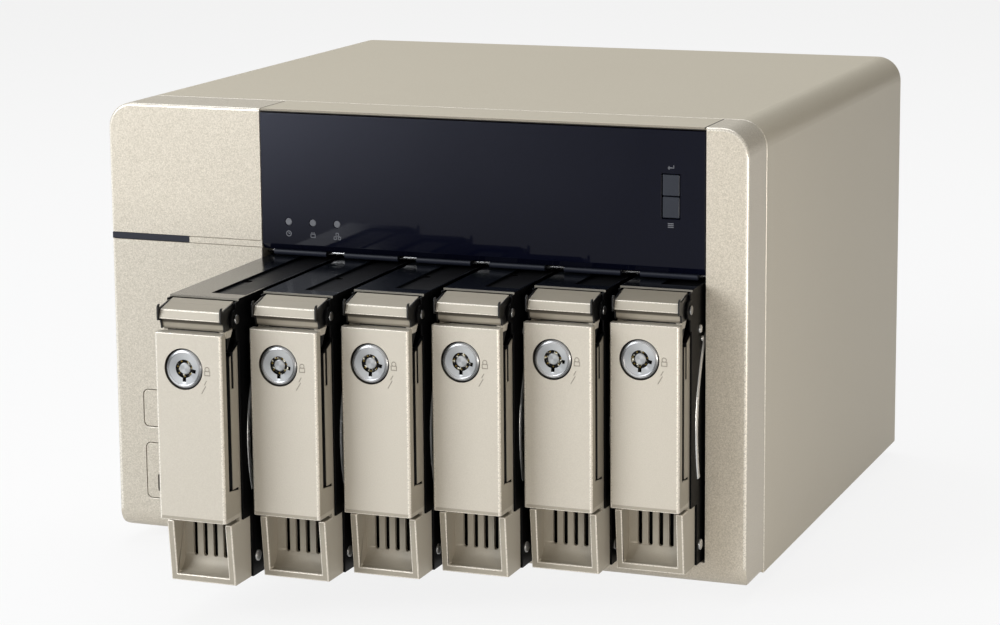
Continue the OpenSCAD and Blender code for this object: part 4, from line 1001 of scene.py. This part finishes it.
for bay in BAYS:
    tray = f"tray_{bay}"
    lock = anchor[f"lock_{bay}_turn"]
    pin = anchor[f"lever_{bay}_swing"]
    soften(
        f"{tray}_lever", [lever_paint], 0.3 * MM, 3, weigh=lever_share(lock), edge=edge_paint,
        origin=lock, cuts=[(X, lock[0])],
    )
    soften(
        f"{tray}_face", [lever_paint], 0.45 * MM, 3, weigh=scoop_share(lock), edge=edge_paint,
        origin=lock, cuts=[(X, pin[0]), (Z, lock[2] - STRIKE_DROP)],
    )
    soften(
        f"{tray}_carrier", [black_coat, nickel, side_coat, grey_coat], 0.12 * MM,
        choose=carrier_regions(pin),
    )
    soften(f"{tray}_latch", [cam_black, steel], 0.1 * MM, choose=latch_regions(pin))
    soften(
        f"{tray}_lock", [chrome, lock_face, keyway], 0.12 * MM, choose=lock_regions(lock),
        origin=lock,
    )
    soften(f"{tray}_drive", [drive_coat], 0.4 * MM)
    bows = []
    rivets = []
    pin_heads = []
    for side in (-1, 1):
        bow_x = pin[0] + side * (CARRIER_HALF - BOW_SUNK)
        bows.append(bow(np.array([bow_x, lock[1] + BOW_BACK, lock[2] - BOW_DROP]), side * X))
        rivet_x = pin[0] + side * (CARRIER_HALF + RIVET_PROUD)
        for back, up, radius in RIVETS:
            centre = np.array([rivet_x, lock[1] + back, lock[2] + up])
            rivets.append(dome(centre, side * X, radius, DOME_RISE))
        centre = pin + side * (CARRIER_HALF + PIN_HEAD_PROUD) * X
        pin_heads.append(dome(centre, side * X, PIN_HEAD_RADIUS, DOME_RISE))
    lever_body = f"lever_{bay}"
    # The bows are black gloss beads, made bright as a painted highlight
    make(f"{tray}_bows", gather(bows), nickel, tray, "bright_steel")
    make(f"{tray}_rivets", gather(rivets), nickel, tray, "bright_steel")
    make(f"{tray}_pin_heads", gather(pin_heads), sheet_steel, lever_body, "bright_steel")
    make(f"{tray}_cap_back", cap_back(pin), lever_paint, lever_body, slots[f"{tray}_lever"], lock)
    ring = sum(KEYWAY_RADII) / 2
    pins = []
    for turn in np.radians(np.arange(PIN_COUNT) * 360 / PIN_COUNT + FIRST_PIN):
        centre = lock + ring * (math.cos(turn) * X + math.sin(turn) * Z)
        pins.append(lathe(LOCK_PIN, centre, Y, 12))
    lock_body = f"lock_{bay}"
    make(f"{tray}_lock_pins", gather(pins), brass, lock_body, "chrome")
    make(f"{tray}_keyway_ring", lathe(KEYWAY_RING, lock, Y, 40), keyway, lock_body, "chrome")
    make(f"{tray}_lock_rim", lathe(LOCK_RIM, lock, Y, 64), chrome, lock_body, "chrome", lock)


# Rear

# Radius and rise of a screw's head, radius and length of its shank, and places of the screws: from
# the fans' axes, as (x, z) on the rear, and as (x, y) and the height of their seat under the feet
SCREW_RADIUS = 2.8 * MM
SCREW_RISE = 1.8 * MM
SCREW_SHANK = (1.4 * MM, 3 * MM)
FAN_SCREW = 38 * MM
RIM_SCREWS = np.array([(124, 15), (124, 135), (64.25, 170.5)]) * MM
FOOT_SCREWS = np.array([(104.5, -24.4), (104.5, 138.6)]) * MM
FOOT_SEAT = 2.5 * MM
CROSS_ROOT = 0.42


def cross(turn):
    """Radius share of a cross recess: four arms where cos 4a is near 1, and CROSS_ROOT between them."""
    return CROSS_ROOT + (1 - CROSS_ROOT) * np.clip(np.cos(4 * turn) * 3 - 1.4, 0, 1)


def screw(seat, axis):
    """A pan head screw on its seat, with a cross recess sunk into its head."""
    r, rise = SCREW_RADIUS, SCREW_RISE
    shank, length = SCREW_SHANK
    profile = [
        (0, -length, 0), (shank, -length, 0), (shank, 0, 0), (r, 0, 0), (r, 0.55 * rise, 0),
        (0.93 * r, 0.82 * rise, 0), (0.78 * r, rise, 0), (0.6 * r, rise, 1),
        (0.45 * r, 0.35 * rise, 1), (0, 0.3 * rise, 0),
    ]
    return lathe(profile, np.array(seat), axis, 48, lobes=cross)


panel_y = corners("rear_panel")[1][1]
screws = []
for side in (-1, 1):
    screws += [screw((side * x, cover_high[1], z), Y) for x, z in RIM_SCREWS]
    screws += [screw((side * x, y, FOOT_SEAT), -Z) for x, y in FOOT_SCREWS]
    for fan in ("left", "right"):
        hub = anchor[f"fan_spin_{fan}"]
        x = hub[0] + side * FAN_SCREW
        screws += [screw((x, panel_y, hub[2] + up), Y) for up in (-FAN_SCREW, FAN_SCREW)]
screw_heads = make("case_screw_heads", gather(screws), steel, "case", slots["case_screws"])
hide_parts("case_screws")

# Half pitches of the four network jacks, and number, pitch, height, half thickness and depths of the
# contacts in each
LAN_STEP = np.array([8.0, 6.75]) * MM
CONTACT_COUNT = 8
CONTACT_PITCH = 1.02 * MM
CONTACT_UP = 3.4 * MM
CONTACT_HALF = 0.2 * MM
CONTACT_SPAN = np.array([9.0, 3.0]) * MM
deep, shallow = sockets_high[1] - CONTACT_SPAN
contacts = []
for side in (-1, 1):
    for row in (-1, 1):
        jack = mount["lan_sockets"][[0, 2]] + LAN_STEP * (side, row)
        z = jack[1] + row * CONTACT_UP
        for k in np.arange(CONTACT_COUNT) - (CONTACT_COUNT - 1) / 2:
            x = jack[0] + k * CONTACT_PITCH
            low = (x - CONTACT_HALF, deep, z - CONTACT_HALF)
            high = (x + CONTACT_HALF, shallow, z + CONTACT_HALF)
            contacts.append(block(low, high))
make("lan_contacts", gather(contacts), brass, "case", slots["port_sockets"])


BLADES = 7
BLADE_DEPTH = 13 * MM
BLADE_MIDDLE = 9 * MM
BLADE_WALL = 1.2 * MM
# A blade's root as a share of the hub's radius, its turn in radians from root to tip and along its
# chord, and the share of its depth that it loses towards the tip
BLADE_ROOT = 0.95
SWEEP = 0.3
CHORD = 0.72
TAPER = 0.3
# The hub's radius as a share of the blades', its length, and the bevel at its ends
HUB_SHARE = 0.42
HUB_LENGTH = 17 * MM
HUB_BEVEL = 1 * MM


def fan_blades(centre, root, tip):
    """Twisted blades: at radius r and chord share s a point turns by its blade's angle, a sweep that
    grows with r, and s times the chord's angle, and stands s times the blade's depth along Y."""
    r = np.linspace(root, tip, 10)[:, None]
    s = np.linspace(-0.5, 0.5, 9)[None, :]
    out = (r - root) / (tip - root)
    y = centre[1] + s * BLADE_DEPTH * (1 - TAPER * out)
    blades = []
    for k in range(BLADES):
        turn = 2 * np.pi * k / BLADES + SWEEP * out + s * CHORD
        points = [centre[0] + r * np.cos(turn), y, centre[2] + r * np.sin(turn)]
        blades.append(grid(np.stack(points, -1)))
    return gather(blades)


for side in ("left", "right"):
    node = f"fan_rotor_{side}"
    low, high = corners(node)
    centre = anchor[f"fan_spin_{side}"]
    tip = (high[0] - low[0]) / 2
    hub = HUB_SHARE * tip
    shape = fan_blades(np.array([centre[0], low[1] + BLADE_MIDDLE, centre[2]]), BLADE_ROOT * hub, tip)
    blades = make(f"{node}_blades", shape, black_plastic, node, slots[node])
    wall = blades.modifiers.new("wall", "SOLIDIFY")
    wall.thickness = BLADE_WALL
    wall.offset = 0.0
    front, back = low[1], low[1] + HUB_LENGTH
    profile = [
        (0, front), (hub - HUB_BEVEL, front), (hub, front + HUB_BEVEL), (hub, back - HUB_BEVEL),
        (hub - HUB_BEVEL, back), (0, back),
    ]
    shape = lathe(profile, centre * (1, 0, 1), Y, 64)
    drum = make(f"{node}_hub", shape, black_plastic, node, slots[node])
    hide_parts(node)


# Stage, light and camera

REACH = 12.0
FLOOR_TONE = (0.72, 0.72, 0.72, 1.0)
FLOOR_GLOW = 0.86
ROOM_LIGHT = 0.17
ROOM_TONE = (1.0, 0.955, 0.88, 1.0)


def plain_white():
    """Pale floor: lit white, and to the eye partly bright by itself."""
    finish = Finish("pale_floor", Roughness=0.9)
    finish.set("Base Color", FLOOR_TONE)
    path = finish.add("LightPath")
    seen = (path["Is Camera Ray"] + path["Is Glossy Ray"] + path["Is Transmission Ray"]).clamped()
    glow = finish.add("Emission", None, {"Strength": 1.0})["Emission"]
    matte = Value(finish, finish.shader.outputs["BSDF"])
    inputs = {"Fac": seen * FLOOR_GLOW, "Shader": matte, "Shader_001": glow}
    mixed = finish.add("MixShader", None, inputs)["Shader"]
    finish.feed(finish.tree.nodes["Material Output"].inputs["Surface"], mixed)
    return finish.material


floor_corners = [(-REACH, -REACH, 0), (REACH, -REACH, 0), (REACH, REACH, 0), (-REACH, REACH, 0)]
floor_mesh = bpy.data.meshes.new("floor")
floor_mesh.from_pydata(floor_corners, [], [(0, 1, 2, 3)])
floor_mesh.materials.append(plain_white())
link("floor", floor_mesh)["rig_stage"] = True

world = bpy.data.worlds.new("studio")
bpy.context.scene.world = world
world.use_nodes = True
tree = world.node_tree
sky = tree.nodes["Background"]
sky.inputs["Color"].default_value = ROOM_TONE
path = tree.nodes.new("ShaderNodeLightPath")
seen = tree.nodes.new("ShaderNodeMath")
seen.operation = "MAXIMUM"
level = tree.nodes.new("ShaderNodeMapRange")
level.inputs["To Min"].default_value = ROOM_LIGHT
level.inputs["To Max"].default_value = 1.0
tree.links.new(path.outputs["Is Camera Ray"], seen.inputs[0])
tree.links.new(path.outputs["Is Transmission Ray"], seen.inputs[1])
tree.links.new(seen.outputs["Value"], level.inputs["Value"])
tree.links.new(level.outputs["Result"], sky.inputs["Strength"])


def softbox(name, place, aim, width, height, power, colour):
    """A rectangular area lamp at a place, facing a point."""
    lamp = bpy.data.lights.new(name, "AREA")
    lamp.shape = "RECTANGLE"
    lamp.size = width
    lamp.size_y = height
    lamp.energy = power
    lamp.color = colour
    holder = bpy.data.objects.new(name, lamp)
    bpy.context.scene.collection.objects.link(holder)
    turn = (Vector(aim) - Vector(place)).to_track_quat("-Z", "Y").to_matrix().to_4x4()
    holder.matrix_world = Matrix.Translation(place) @ turn


AIM = (0.0, 0.0, 0.09)
LOW_AIM = (0.13, -0.06, 0.02)
COOL = (0.94, 0.965, 1.0)
WARM = (1.0, 0.93, 0.84)
softbox("key_left", (-0.85, -1.05, 0.6), AIM, 0.8, 0.8, 16.8, COOL)
softbox("top_box", (-0.25, 0.45, 1.6), AIM, 1.4, 1.4, 20.0, COOL)
softbox("low_right", (0.45, -0.5, 0.06), LOW_AIM, 0.2, 0.1, 1.1, WARM)

AZIMUTH = math.radians(21.1)
ELEVATION = math.radians(10.41)
ROLL = math.radians(-0.51)
DISTANCE = 1.1607
TARGET = Vector((-0.0055, 0.0285, 0.1053))
camera = bpy.data.cameras.new("camera")
camera.sensor_width = 36.0
camera.lens = 102.43
camera.shift_y = -0.06
eye = bpy.data.objects.new("camera", camera)
bpy.context.scene.collection.objects.link(eye)
back = Vector((
    math.sin(AZIMUTH) * math.cos(ELEVATION),
    -math.cos(AZIMUTH) * math.cos(ELEVATION),
    math.sin(ELEVATION),
))
turn = (-back).to_track_quat("-Z", "Y").to_matrix() @ Matrix.Rotation(ROLL, 3, "Z")
eye.matrix_world = Matrix.Translation(TARGET + back * DISTANCE) @ turn.to_4x4()
bpy.context.scene.camera = eye
bpy.context.scene.view_settings.view_transform = "Standard"

boxes = {"cad": cad_box, "visual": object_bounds()}
{name: [list(corner) for corner in pair] for name, pair in boxes.items()}
